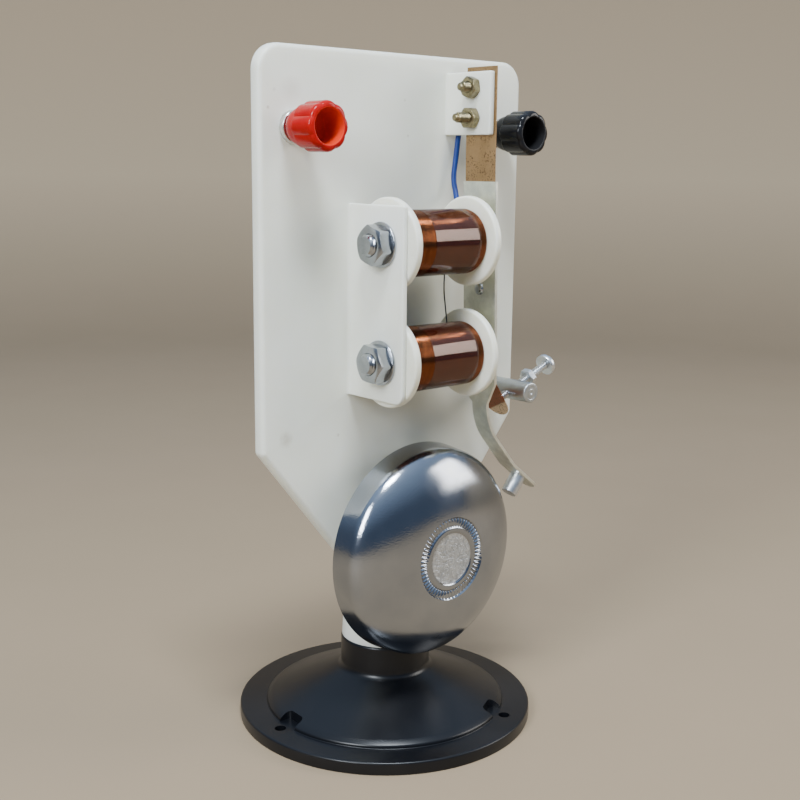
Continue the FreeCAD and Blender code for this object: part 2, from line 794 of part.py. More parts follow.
def make_clapper():
    """A solid striker with a thin shank through the arm and a rivet head beyond it."""
    seat, outward = clapper_seat()
    radius = clapper_diameter / 2
    shank = clapper_shank_diameter / 2
    edge = clapper_edge_chamfer
    rivet_top = armature_thickness + clapper_rivet_height
    profile = [
        (0, -clapper_length), (radius - edge, -clapper_length), (radius, -clapper_length + edge),
        (radius, 0), (shank, 0), (shank, armature_thickness),
        (clapper_rivet_diameter / 2, armature_thickness), (shank, rivet_top), (0, rivet_top),
    ]
    return lean_out(along(revolve_z(profile), seat, outward))


def make_rivet(height):
    """A rivet through the armature and the leaf, with a round head on each side."""
    grip = armature_thickness + leaf_thickness
    head = rivet_head_diameter / 2
    shank = rivet_diameter / 2
    crown = rivet_crown_diameter / 2
    profile = [
        (0, -rivet_head_height), (crown, -rivet_head_height), (head, -rivet_edge_height), (head, 0),
        (shank, 0), (shank, grip), (head, grip), (head, grip + rivet_edge_height),
        (crown, grip + rivet_head_height), (0, grip + rivet_head_height),
    ]
    return lean_out(along(revolve_z(profile), vec(armature_left, armature_y, height), X_AXIS))


def make_clamp_screw(height, projection):
    """A slotted screw from the leaf's right side through the ear, its tip standing out to the left."""
    shank_length = leaf_thickness + ear_thickness + projection
    start = vec(leaf_right, clamp_y, height)
    head = pan_head(clamp_head_diameter, clamp_head_height, start, X_AXIS)
    radius = clamp_screw_diameter / 2
    tip_radius = radius - clamp_screw_tip_chamfer
    profile = [
        (0, 0), (radius, 0), (radius, shank_length - clamp_screw_tip_chamfer),
        (tip_radius, shank_length), (0, shank_length),
    ]
    shank = along(revolve_z(profile), start, X_AXIS * -1)
    return head.fuse(shank).removeSplitter()


# ================================================================ contact post and screw
def post_point(distance):
    """A point on the contact screw's axis, a distance from the post's axis towards its head."""
    return vec(post_x + screw_cos * distance, leaf_y, post_height + screw_sin * distance)


def tab_hit_distance():
    """How far the contact screw's axis runs from the post's axis to the tab's outer face."""
    bend = leaf_route()[3]
    normal = vec(math.cos(tab_lean), 0, math.sin(tab_lean))
    away = post_point(0) - bend - Y_AXIS * leaf_y
    clear = away.dot(normal) - leaf_thickness
    return clear / (screw_cos * normal.x + screw_sin * normal.z)


def make_contact_post():
    start = vec(post_x, panel_front, post_height)
    forward = Y_AXIS * -1
    radius = post_diameter / 2
    profile = [
        (0, 0), (radius, 0), (radius, post_length - post_end_chamfer),
        (radius - post_end_chamfer, post_length), (0, post_length),
    ]
    post = along(revolve_z(profile), start, forward)
    cross_radius = contact_screw_diameter / 2 + thread_clearance
    axis = vec(screw_cos, 0, screw_sin)
    cross = cylinder(cross_radius, post_point(-post_diameter), axis, post_diameter * 2)
    tapped = cylinder(post_screw_diameter / 2, start, forward, post_screw_engagement + overrun)
    return post.cut(cross).cut(tapped)


def make_contact_screw():
    """The adjusting screw: rounded tip that meets the tab, shank through the post, pan head."""
    axis = vec(screw_cos, 0, screw_sin)
    radius = contact_screw_diameter / 2
    tip_distance = tab_hit_distance() - contact_gap
    length = contact_screw_reach + tip_distance
    profile = [
        (0, 0), (contact_tip_diameter / 2, 0), (radius, contact_tip_height), (radius, length), (0, length),
    ]
    shank = along(revolve_z(profile), post_point(-tip_distance), axis)
    head = pan_head(contact_head_diameter, contact_head_height, post_point(contact_screw_reach), axis)
    return shank.fuse(head).removeSplitter()


# ================================================================ terminals
def cap_lobes(start, length):
    """The cap's grip: round lobes side by side about a solid middle, with chamfered front edges."""
    distance = cap_front_diameter / 2 - lobe_radius
    chamfer = cap_front_chamfer
    profile = [
        (0, start), (lobe_radius - cap_step_height, start), (lobe_radius, start + cap_step_height),
        (lobe_radius, start + length - chamfer), (lobe_radius - chamfer, start + length),
        (0, start + length),
    ]
    lobe = revolve_z(profile)
    lobes = cylinder(distance, vec(0, 0, start), Z_AXIS, length)
    for index in range(lobe_count):
        angle = 2 * math.pi * index / lobe_count
        placed = lobe.copy()
        placed.translate(vec(distance * math.cos(angle), distance * math.sin(angle), 0))
        lobes = lobes.fuse(placed)
    return lobes


def make_cap(x):
    """A terminal cap: domed rear, lobed front, wide blind recess, and a chamber for its insert."""
    rear_radius = cap_rear_diameter / 2
    step = cap_length - cap_front_length
    neck_end = step + cap_step_height
    round_end = cap_rear_round
    bulge = round_end * (1 - math.sqrt(0.5))
    rear_centre = vec(0, 0, 0)
    dome_start = vec(rear_radius - round_end, 0, 0)
    dome_end = vec(rear_radius, 0, round_end)
    side_end = vec(rear_radius, 0, neck_end)
    front_centre = vec(0, 0, neck_end)
    edges = [
        Part.LineSegment(rear_centre, dome_start).toShape(),
        Part.Arc(dome_start, vec(rear_radius - bulge, 0, bulge), dome_end).toShape(),
        Part.LineSegment(dome_end, side_end).toShape(),
        Part.LineSegment(side_end, front_centre).toShape(),
        Part.LineSegment(front_centre, rear_centre).toShape(),
    ]
    rear = Part.Face(Part.Wire(edges)).revolve(vec(0, 0, 0), Z_AXIS, 360)
    cap = rear.fuse(cap_lobes(step, cap_front_length)).removeSplitter()
    mouth = recess_diameter / 2
    recess_floor = cap_length - recess_depth
    mouth_slope = recess_draft / recess_depth
    recess = Part.makeCone(
        mouth - recess_draft, mouth + mouth_slope * overrun, recess_depth + overrun,
        vec(0, 0, recess_floor), Z_AXIS)
    chamber_radius = insert_diameter / 2 + insert_clearance
    chamber_length = recess_floor - cap_web - cap_rear_wall
    chamber = cylinder(chamber_radius, vec(0, 0, cap_rear_wall), Z_AXIS, chamber_length)
    entry = drill(stud_diameter / 2 + stud_entry_clearance, vec(0, 0, 0), Z_AXIS, cap_rear_wall)
    cap = cap.cut(recess).cut(chamber).cut(entry)
    return along(cap, vec(x, cap_rear_y, terminal_height), Y_AXIS * -1)


def make_insert(x):
    """The brass insert inside the cap, which runs on the stud."""
    chamber_length = cap_length - recess_depth - cap_web - cap_rear_wall
    start = vec(x, cap_rear_y - cap_rear_wall - insert_clearance, terminal_height)
    length = chamber_length - insert_end_gap
    return tube(insert_diameter / 2, stud_diameter / 2 + stud_clearance, start, Y_AXIS * -1, length)


def make_stud(x):
    """The terminal's threaded stud, from behind the panel into the cap."""
    start = vec(x, panel_back + stud_projection_rear, terminal_height)
    length = panel_back + stud_projection_rear - stud_tip_y
    radius = stud_diameter / 2
    edge = stud_end_chamfer
    profile = [
        (0, 0), (radius - edge, 0), (radius, edge), (radius, length - edge), (radius - edge, length),
        (0, length),
    ]
    return along(revolve_z(profile), start, Y_AXIS * -1)


def make_tag(x):
    """A solder tag: a ring round the stud and a tongue with a hole, pointing down."""
    ring_radius = tag_ring_diameter / 2
    start = vec(x, panel_back, terminal_height)
    ring = cylinder(ring_radius, start, Y_AXIS, tag_thickness)
    tongue_start = vec(x - tag_width / 2, panel_back, terminal_height - tag_length)
    tongue = Part.makeBox(tag_width, tag_thickness, tag_length, tongue_start)
    eye_height = terminal_height - tag_length + tag_eye_rise
    eye = drill(tag_eye_diameter / 2, vec(x, panel_back, eye_height), Y_AXIS, tag_thickness)
    bore = drill(stud_diameter / 2 + hole_clearance, start, Y_AXIS, tag_thickness)
    return ring.fuse(tongue).removeSplitter().cut(bore).cut(eye)


# ================================================================ lead
def rounded_route(points):
    """Straight runs joined by tangent arcs. Each arc is as large as its two runs allow."""
    edges = []
    previous = points[0]
    for index in range(1, len(points) - 1):
        before = points[index - 1] - points[index]
        after = points[index + 1] - points[index]
        shorter = min(before.Length, after.Length)
        turn = math.pi - before.getAngle(after)
        reach = lead_bend_share * shorter
        radius = reach / math.tan(turn / 2)
        into = points[index] + before.normalize() * reach
        out = points[index] + after.normalize() * reach
        bisector = (into + out) * 0.5 - points[index]
        centre_distance = math.hypot(radius, reach)
        middle = points[index] + bisector.normalize() * (centre_distance - radius)
        edges.append(Part.LineSegment(previous, into).toShape())
        edges.append(Part.Arc(into, middle, out).toShape())
        previous = out
        print("lead arc radius", round(radius, 2))
    edges.append(Part.LineSegment(previous, points[-1]).toShape())
    return Part.Wire(edges)


def round_tube(points, diameter):
    """A solid of round section along a rounded route, checked against its length."""
    wire = rounded_route(points)
    direction = points[1] - points[0]
    section = Part.Wire(Part.makeCircle(diameter / 2, points[0], direction))
    solid = wire.makePipeShell([section], True, True)
    expected = math.pi * diameter * diameter / 4 * wire.Length
    print("tube length", round(wire.Length, 2), "volume share", round(solid.Volume / expected, 4))
    return solid


def lead_points():
    """The insulated lead's route: from the clamp, down beside the ear, to the upper coil."""
    start_x = leaf_right + lead_diameter / 2 + lead_gap
    start_y = clamp_y + lead_start_back
    flange_x = bobbin_right + lead_diameter / 2 + lead_gap
    bends = []
    for right, out, up in lead_bends:
        bends.append(vec(leaf_right + right, panel_front - out, ear_foot_height + up))
    start = vec(start_x, start_y, ear_foot_height + lead_start_rise)
    end = vec(flange_x, mechanism_y + lead_coil_back, coil_upper_height + lead_coil_rise)
    turn = vec(start_x, panel_front - lead_turn_out, ear_foot_height + lead_turn_rise)
    return [start, turn] + bends + [end]


def make_lead_ends():
    """The lead's bare ends: one under the lower clamp screw's head, one into the coil's flange."""
    points = lead_points()
    radius = lead_core_diameter / 2
    head_edge = vec(
        leaf_right + radius + lead_core_clearance, clamp_y + clamp_head_diameter / 2 + lead_core_back,
        clamp_screw_heights[1])
    clamp_axis = head_edge - points[0]
    clamp_end = Part.makeCylinder(radius, clamp_axis.Length, points[0], clamp_axis)
    coil_target = vec(bobbin_right, points[-1].y - lead_core_forward, points[-1].z - lead_core_drop)
    coil_axis = coil_target - points[-1]
    coil_end = Part.makeCylinder(radius, coil_axis.Length, points[-1], coil_axis)
    lead = nodes["blue_lead"]
    return [clamp_end.cut(lead), coil_end.cut(lead).cut(nodes["bobbin_upper"])]


# ================================================================ assembly
add("base_foot", make_foot())
add("back_panel", make_panel())

add("bell_gong", make_gong())
add("bell_post", make_gong_post())
bell_behind = vec(0, panel_back, gong_height)
bell_bore = gong_thread_diameter / 2 + thread_clearance
add("bell_post_washer", tube(
    bell_washer_diameter / 2, bell_bore, bell_behind, Y_AXIS, bell_washer_thickness))
bell_nut_start = bell_behind + Y_AXIS * bell_washer_thickness
add("bell_post_nut", nut(bell_nut_flats, bell_nut_thickness, bell_bore, bell_nut_start, Y_AXIS))

coil_heights = {"upper": coil_upper_height, "lower": coil_lower_height}
core_washers = []
core_nuts = []
nut_turns = dict(zip(coil_heights, core_nut_turns))
for place, coil_height in coil_heights.items():
    add("bobbin_" + place, make_bobbin(coil_height))
    add("winding_" + place, make_winding(coil_height))
    add("film_" + place, make_film(coil_height))
    add("core_" + place, make_core(coil_height))
    seat = vec(bracket_left, mechanism_y, coil_height)
    bore = core_stub_diameter / 2 + thread_clearance
    core_washers.append(tube(washer_diameter / 2, bore, seat, X_AXIS * -1, washer_thickness))
    nut_seat = seat - X_AXIS * washer_thickness
    core_nuts.append(nut(core_nut_flats, core_nut_thickness, bore, nut_seat, X_AXIS * -1, nut_turns[place]))
add("core_washers", group(core_washers))
add("core_nuts", group(core_nuts))

link_x = bobbin_right - link_wire_inset
link_foot = vec(link_x, mechanism_y, coil_lower_height + winding_diameter / 2 + film_thickness)
link_length = coil_pitch - winding_diameter - 2 * film_thickness
add("link_wire", cylinder(link_wire_diameter / 2, link_foot, Z_AXIS, link_length))

add("leaf_spring", make_leaf())
add("armature", make_armature())
add("armature_rivets", group([make_rivet(height) for height in rivet_heights]))
add("clapper", make_clapper())
clamp_bore = clamp_screw_diameter / 2 + thread_clearance
clamp_screws = []
clamp_nuts = []
for height, projection, turn in zip(clamp_screw_heights, clamp_screw_projections, clamp_nut_turns):
    clamp_screws.append(make_clamp_screw(height, projection))
    seat = vec(ear_left, clamp_y, height)
    clamp_nuts.append(nut(clamp_nut_flats, clamp_nut_thickness, clamp_bore, seat, X_AXIS * -1, turn))
add("clamp_screws", group(clamp_screws))
add("clamp_nuts", group(clamp_nuts))

add("contact_post", make_contact_post())
post_behind = vec(post_x, panel_back, post_height)
post_bore = post_screw_diameter / 2 + hole_clearance
add("post_washer", tube(post_washer_diameter / 2, post_bore, post_behind, Y_AXIS, post_washer_thickness))
post_head_start = post_behind + Y_AXIS * post_washer_thickness
post_head = pan_head(post_screw_head_diameter, post_screw_head_height, post_head_start, Y_AXIS)
post_shank_length = panel_thickness + post_washer_thickness + post_screw_engagement
post_shank_radius = post_screw_diameter / 2 - post_screw_clearance
post_shank = cylinder(post_shank_radius, post_head_start, Y_AXIS * -1, post_shank_length)
add("post_screw", post_head.fuse(post_shank).removeSplitter())
add("contact_screw", make_contact_screw())
screw_axis = vec(screw_cos, 0, screw_sin)
lock_bore = contact_screw_diameter / 2 + thread_clearance
lock_seat = post_point(lock_nut_offset)
add("lock_nut", nut(lock_nut_flats, lock_nut_thickness, lock_bore, lock_seat, screw_axis, lock_nut_turn))

collars = []
tags = []
terminal_washers = []
terminal_nuts = []
stud_bore = stud_diameter / 2 + thread_clearance
for colour, side_x in (("red", -terminal_x), ("black", terminal_x)):
    add(colour + "_cap", make_cap(side_x))
    add(colour + "_insert", make_insert(side_x))
    add(colour + "_stud", make_stud(side_x))
    front = vec(side_x, panel_front, terminal_height)
    collars.append(tube(collar_diameter / 2, stud_bore, front, Y_AXIS * -1, collar_length))
    tags.append(make_tag(side_x))
    washer_start = vec(side_x, panel_back + tag_thickness, terminal_height)
    terminal_washers.append(
        tube(terminal_washer_diameter / 2, stud_bore, washer_start, Y_AXIS, terminal_washer_thickness))
    nut_start = washer_start + Y_AXIS * terminal_washer_thickness
    terminal_nuts.append(nut(terminal_nut_flats, terminal_nut_thickness, stud_bore, nut_start, Y_AXIS))
add("terminal_collars", group(collars))
add("solder_tags", group(tags))
add("terminal_washers", group(terminal_washers))
add("terminal_nuts", group(terminal_nuts))

add("blue_lead", round_tube(lead_points(), lead_diameter))
add("lead_ends", group(make_lead_ends()))

os.makedirs("parts", exist_ok=True)
for name, shape in nodes.items():
    if not shape.isValid():
        print("not valid:", name)
    box = shape.BoundBox
    print(name, len(shape.Solids), "solids, volume", round(shape.Volume, 2),
          [round(v, 2) for v in (box.XMin, box.YMin, box.ZMin, box.XMax, box.YMax, box.ZMax)])
    shape.exportStep("parts/" + name + ".step")
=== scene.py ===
"""The looks of the electric bell demonstrator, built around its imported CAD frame.

Lengths are in millimetres in this script and become metres when a mesh is made. The frame is the
CAD's: X to the right, Y to the back, Z up, and the origin under the middle of the foot.
"""
import bpy
import bmesh
import math
from mathutils import Matrix, Quaternion, Vector


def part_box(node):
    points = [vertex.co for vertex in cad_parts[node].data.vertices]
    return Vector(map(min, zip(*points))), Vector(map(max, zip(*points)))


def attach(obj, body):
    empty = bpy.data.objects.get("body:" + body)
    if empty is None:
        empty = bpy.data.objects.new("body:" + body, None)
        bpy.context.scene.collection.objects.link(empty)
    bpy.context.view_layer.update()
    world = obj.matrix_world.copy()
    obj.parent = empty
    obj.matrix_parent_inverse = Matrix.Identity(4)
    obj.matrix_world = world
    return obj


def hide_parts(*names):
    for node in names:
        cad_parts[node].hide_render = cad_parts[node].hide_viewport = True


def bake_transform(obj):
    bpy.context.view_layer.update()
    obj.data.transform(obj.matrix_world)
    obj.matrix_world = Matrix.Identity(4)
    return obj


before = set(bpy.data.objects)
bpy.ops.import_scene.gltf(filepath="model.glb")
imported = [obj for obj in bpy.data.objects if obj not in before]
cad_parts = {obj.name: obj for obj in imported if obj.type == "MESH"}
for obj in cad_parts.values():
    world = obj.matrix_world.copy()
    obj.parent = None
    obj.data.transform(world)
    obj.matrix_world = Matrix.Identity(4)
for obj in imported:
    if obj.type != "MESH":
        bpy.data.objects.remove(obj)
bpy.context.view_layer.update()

MM = 0.001
ORIGIN = Vector((0, 0, 0))
X_AXIS = Vector((1, 0, 0))
Y_AXIS = Vector((0, 1, 0))
Z_AXIS = Vector((0, 0, 1))


def node_box(node):
    """A CAD node's lowest and highest corner, in millimetres."""
    low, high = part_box(node)
    return low / MM, high / MM


def node_centre(node):
    low, high = node_box(node)
    return (low + high) / 2


# ---- mesh helpers
SMOOTH_ANGLE = 32.0
NUT_FACE_SHARE = 0.97
NUT_SINK = 0.28
NUT_CHAMFER = math.radians(30)
THREAD_ROWS_PER_PITCH = 8
THREAD_DEPTH_SHARE = 0.6
CUT_OVERRUN = 2.0


def finish_mesh(name, bm, smooth_angle=SMOOTH_ANGLE):
    """Turns a bmesh in millimetres into an object in metres, smooth but for its sharp edges."""
    bmesh.ops.remove_doubles(bm, verts=bm.verts, dist=1e-4)
    bmesh.ops.dissolve_degenerate(bm, dist=1e-4, edges=bm.edges)
    bmesh.ops.recalc_face_normals(bm, faces=bm.faces)
    bmesh.ops.scale(bm, vec=(MM, MM, MM), verts=bm.verts)
    mesh = bpy.data.meshes.new(name)
    bm.to_mesh(mesh)
    bm.free()
    smooth(mesh, smooth_angle)
    piece = bpy.data.objects.new(name, mesh)
    bpy.context.scene.collection.objects.link(piece)
    return piece


def smooth(mesh, angle=SMOOTH_ANGLE):
    mesh.polygons.foreach_set("use_smooth", [True] * len(mesh.polygons))
    mesh.set_sharp_from_angle(angle=math.radians(angle))


def skin(bm, rings, close_rings=False, caps=True):
    """Joins rings of points, each the same length, into a tube. close_rings joins last to first."""
    made = [[bm.verts.new(point) for point in ring] for ring in rings]
    count = len(rings[0])
    pairs = list(zip(made, made[1:]))
    if close_rings:
        pairs.append((made[-1], made[0]))
    for low, high in pairs:
        for i in range(count):
            j = (i + 1) % count
            bm.faces.new((low[i], low[j], high[j], high[i]))
    if caps and not close_rings:
        bm.faces.new(list(reversed(made[0])))
        bm.faces.new(made[-1])


def ring_of(segments, radius, height):
    """A ring of points round Z. Its radius and its height are numbers or functions of the angle."""
    ring = []
    for i in range(segments):
        angle = math.tau * i / segments
        reach = radius(angle) if callable(radius) else radius
        rise = height(angle) if callable(height) else height
        ring.append((reach * math.cos(angle), reach * math.sin(angle), rise))
    return ring


def skin_along(bm, rings, origin, axis, spin=0.0, close_rings=False):
    """Skins rings about local Z, with that Z put along the axis and its start at the origin given."""
    turn = Z_AXIS.rotation_difference(axis) @ Quaternion(Z_AXIS, math.radians(spin))
    skin(bm, [[turn @ Vector(point) + origin for point in ring] for ring in rings], close_rings)


def rounded(corners, steps=5):
    """A closed outline of (x, y, radius) corners, with each corner of a radius turned into an arc."""
    outline = []
    for index, (x, y, radius) in enumerate(corners):
        corner = Vector((x, y))
        if radius <= 0:
            outline.append((x, y))
            continue
        before = (Vector(corners[index - 1][:2]) - corner).normalized()
        after = (Vector(corners[(index + 1) % len(corners)][:2]) - corner).normalized()
        half = before.angle(after) / 2
        centre = corner + (before + after).normalized() * radius / math.sin(half)
        start = corner + before * radius / math.tan(half) - centre
        sweep = math.pi - 2 * half
        side = 1 if before.x * after.y - before.y * after.x < 0 else -1
        for step in range(steps + 1):
            point = Matrix.Rotation(side * sweep * step / steps, 2) @ start + centre
            outline.append((point.x, point.y))
    return outline


def arc_through(start, middle, end, steps):
    """Points after the start on the arc through three 2D points, the last of them the end itself."""
    ax, ay, bx, by, cx, cy = *start, *middle, *end
    a, b, c = ax**2 + ay**2, bx**2 + by**2, cx**2 + cy**2
    d = 2 * (ax * (by - cy) + bx * (cy - ay) + cx * (ay - by))
    ux = (a * (by - cy) + b * (cy - ay) + c * (ay - by)) / d
    uy = (a * (cx - bx) + b * (ax - cx) + c * (bx - ax)) / d
    centre = Vector((ux, uy))
    first = Vector(start) - centre
    sweep = first.angle_signed(Vector(end) - centre)
    between = [tuple(Matrix.Rotation(-sweep * k / steps, 2) @ first + centre) for k in range(1, steps)]
    return [*between, end]


def quarter(steps):
    """The sine and cosine at each step of a quarter turn."""
    angles = [math.pi / 2 * step / steps for step in range(steps + 1)]
    return [(math.sin(angle), math.cos(angle)) for angle in angles]


def lathe(bm, outline, origin, axis, segments=96, spin=0.0):
    """Turns a closed outline of (radius, height) about an axis. Either may be a function of the angle."""
    skin_along(bm, [ring_of(segments, r, h) for r, h in outline], origin, axis, spin, close_rings=True)


def lathe_piece(name, outline, origin, axis, segments=96, smooth_angle=SMOOTH_ANGLE):
    bm = bmesh.new()
    lathe(bm, outline, origin, axis, segments)
    return finish_mesh(name, bm, smooth_angle)


def thread_rings(radius, pitch, start, end, chamfer, segments=40):
    """Rings of a screw thread along Z from start to end, with a chamfer at the far end."""
    rows = max(4, int((end - start) / pitch * THREAD_ROWS_PER_PITCH))
    depth = THREAD_DEPTH_SHARE * pitch

    def thread_ring(height):
        to_end = end - height
        crest = radius if to_end > chamfer else radius - (chamfer - to_end) * 0.9

        def reach(angle):
            valley = 0.5 - 0.5 * math.cos(math.tau * height / pitch + angle)
            return min(crest, radius - depth * valley)

        return ring_of(segments, reach, height)

    return [thread_ring(start + (end - start) * row / rows) for row in range(rows + 1)]


def hex_nut(bm, flats, thickness, bore, origin, axis, spin=0.0, corner_cut=0.12):
    """A hex nut with a countersunk bore and chamfers that cut its corners a little."""
    face = flats / 2 * NUT_FACE_SHARE
    sixth = math.pi / 3

    def reach(angle):
        to_flat = (angle % sixth) - sixth / 2
        return min(flats / 2 / math.cos(to_flat), flats / 2 / math.cos(sixth / 2) - corner_cut)

    def drop(angle):
        return max(reach(angle) - face, 0.0) * math.tan(NUT_CHAMFER)

    outline = [
        (bore, NUT_SINK), (bore + NUT_SINK, 0), (face, 0), (reach, drop),
        (reach, lambda angle: thickness - drop(angle)), (face, thickness), (bore + NUT_SINK, thickness),
        (bore, thickness - NUT_SINK),
    ]
    lathe(bm, outline, origin, axis, spin=spin)


def washer(bm, outer, bore, thickness, origin, axis):
    corners = [(bore, 0, 0.08), (outer, 0, 0.25), (outer, thickness, 0.25), (bore, thickness, 0.08)]
    lathe(bm, rounded(corners, 3), origin, axis, 64)


def slab(name, outline, place, thickness, bevel=0.0, bevel_steps=3):
    """A plate from a flat outline. place turns (u, v, depth) into a point; its edges are rounded."""
    bm = bmesh.new()
    low = [bm.verts.new(place(u, v, 0)) for u, v in outline]
    high = [bm.verts.new(place(u, v, thickness)) for u, v in outline]
    bm.faces.new(low)
    bm.faces.new(list(reversed(high)))
    for i in range(len(outline)):
        j = (i + 1) % len(outline)
        bm.faces.new((low[j], low[i], high[i], high[j]))
    bmesh.ops.recalc_face_normals(bm, faces=bm.faces)
    if bevel > 0:
        sharp = [e for e in bm.edges if e.calc_face_angle(0) > math.radians(40)]
        bmesh.ops.bevel(bm, geom=sharp, offset=bevel, segments=bevel_steps, profile=0.5, affect="EDGES")
    return finish_mesh(name, bm)


def boolean(piece, others, operation):
    """Joins or cuts pieces for good and removes the tools."""
    for other in others:
        step = piece.modifiers.new(operation.lower(), "BOOLEAN")
        step.operation = operation
        step.object = other
        step.solver = "EXACT"
    bpy.context.view_layer.update()
    seen = piece.evaluated_get(bpy.context.evaluated_depsgraph_get())
    mesh = bpy.data.meshes.new_from_object(seen)
    piece.modifiers.clear()
    old = piece.data
    piece.data = mesh
    mesh.name = piece.name
    bpy.data.meshes.remove(old)
    for other in others:
        bpy.data.objects.remove(other)
    smooth(mesh)
    return piece


def strip(bm, stations, thickness, bevel):
    """A bent strip of metal. Each station is (x, z, turn, y_front, y_back); turn is the strip's lean
    from upright, and its thickness stands to the +X side."""
    rings = []
    for x, z, turn, front, back in stations:
        section = [
            (front + bevel, 0), (back - bevel, 0), (back, bevel), (back, thickness - bevel),
            (back - bevel, thickness), (front + bevel, thickness), (front, thickness - bevel), (front, bevel),
        ]
        rings.append([(x + math.cos(turn) * d, y, z + math.sin(turn) * d) for y, d in section])
    skin(bm, rings)


def tube_curve(name, points, diameter):
    """A smooth round wire through given control points."""
    curve = bpy.data.curves.new(name, "CURVE")
    curve.dimensions = "3D"
    curve.bevel_depth = diameter / 2 * MM
    curve.bevel_resolution = 5
    curve.use_fill_caps = True
    spline = curve.splines.new("NURBS")
    spline.points.add(len(points) - 1)
    for control, point in zip(spline.points, points):
        control.co = (*(Vector(point) * MM), 1)
    spline.order_u = 3
    spline.use_endpoint_u = True
    spline.resolution_u = 12
    piece = bpy.data.objects.new(name, curve)
    bpy.context.scene.collection.objects.link(piece)
    return piece


# ---- material helpers
class Surface:
    """A node material with one shader, and short calls for its textures.

    slot is the record's material slot, which is the material's own name unless another is given.
    """

    def __init__(self, name, metallic=0.0, slot=None, **sockets):
        self.slot = slot or name
        self.material = bpy.data.materials.new(name)
        self.material.use_nodes = True
        self.tree = self.material.node_tree
        self.shader = self.tree.nodes["Principled BSDF"]
        self.shader.inputs["Metallic"].default_value = metallic
        for socket, value in sockets.items():
            self.shader.inputs[socket.replace("_", " ")].default_value = value
        self.height = None
        self.coordinates = self.node("ShaderNodeTexCoord").outputs["Object"]

    def node(self, kind, **settings):
        made = self.tree.nodes.new(kind)
        for key, value in settings.items():
            setattr(made, key, value)
        return made

    def link(self, output, socket):
        self.tree.links.new(output, socket)

    def along(self, axis):
        """The object coordinate along X, Y or Z, in metres."""
        parts = self.node("ShaderNodeSeparateXYZ")
        self.link(self.coordinates, parts.inputs[0])
        return parts.outputs[axis]

    def stretched(self, scale):
        """Object coordinates stretched along the axes, for brushed and drawn surfaces."""
        mapping = self.node("ShaderNodeMapping")
        mapping.inputs["Scale"].default_value = scale
        self.link(self.coordinates, mapping.inputs["Vector"])
        return mapping.outputs["Vector"]

    def noise(self, size, detail, stretch=None, distortion=0.0):
        """Noise whose blobs are about size millimetres across."""
        texture = self.node("ShaderNodeTexNoise")
        texture.inputs["Scale"].default_value = 1 / (size * MM)
        texture.inputs["Detail"].default_value = detail
        texture.inputs["Roughness"].default_value = 0.55
        texture.inputs["Distortion"].default_value = distortion
        self.link(self.stretched(stretch) if stretch else self.coordinates, texture.inputs["Vector"])
        return texture.outputs["Fac"]

    def cells(self, size):
        texture = self.node("ShaderNodeTexVoronoi", feature="F1")
        texture.inputs["Scale"].default_value = 1 / (size * MM)
        self.link(self.coordinates, texture.inputs["Vector"])
        return texture.outputs["Distance"]

    def ramp(self, value, low, high, start=0.0, end=1.0):
        """Maps value from low..high to start..end, held at the ends."""
        spread = self.node("ShaderNodeMapRange")
        for name, limit in (("From Min", low), ("From Max", high), ("To Min", start), ("To Max", end)):
            spread.inputs[name].default_value = limit
        self.link(value, spread.inputs["Value"])
        return spread.outputs["Result"]

    def math(self, operation, first, second=0.0):
        step = self.node("ShaderNodeMath", operation=operation)
        for socket, value in zip(step.inputs, (first, second)):
            if isinstance(value, (int, float)):
                socket.default_value = value
            else:
                self.link(value, socket)
        return step.outputs[0]

    def zone(self, x, z, radius, soft):
        """One within radius millimetres of the line along Y through (x, z), falling to zero beyond."""
        across = self.math("SUBTRACT", self.along("X"), x * MM)
        rise = self.math("SUBTRACT", self.along("Z"), z * MM)
        squares = self.math("ADD", self.math("MULTIPLY", across, across), self.math("MULTIPLY", rise, rise))
        return self.ramp(self.math("SQRT", squares), (radius - soft) * MM, (radius + soft) * MM, 1, 0)

    def mix(self, share, first, second):
        """Mixes two colours, each a colour or another node's output."""
        blend = self.node("ShaderNodeMix", data_type="RGBA")
        for socket, value in zip((blend.inputs[0], blend.inputs[6], blend.inputs[7]), (share, first, second)):
            if isinstance(value, tuple):
                socket.default_value = (*value, 1)
            else:
                self.link(value, socket)
        return blend.outputs[2]

    def tones(self, noise, low, high, first, second):
        """Two colours, clouded into each other where the noise runs from low to high."""
        return self.mix(self.ramp(noise, low, high), first, second)

    def color(self, output):
        self.link(output, self.shader.inputs["Base Color"])

    def roughness(self, output):
        self.link(output, self.shader.inputs["Roughness"])

    def gloss(self, noise, start, end):
        """Roughness that wanders between start and end."""
        self.roughness(self.ramp(noise, 0.3, 0.7, start, end))

    def bump(self, output, distance, strength=1.0):
        """Adds a bump, distance millimetres high, on top of those before it."""
        step = self.node("ShaderNodeBump")
        step.inputs["Strength"].default_value = strength
        step.inputs["Distance"].default_value = distance * MM
        self.link(output, step.inputs["Height"])
        if self.height is not None:
            self.link(self.height, step.inputs["Normal"])
        self.height = step.outputs["Normal"]
        self.link(self.height, self.shader.inputs["Normal"])


def dress(piece, surface, body="stand", node=None):
    """Gives a piece its material and its body, and hides the CAD node it stands for, which is the node of the
    piece's own name unless another is given."""
    piece.data.materials.clear()
    piece.data.materials.append(surface.material)
    if body:
        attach(piece, body)
    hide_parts(node or piece.name.removesuffix("_look"))


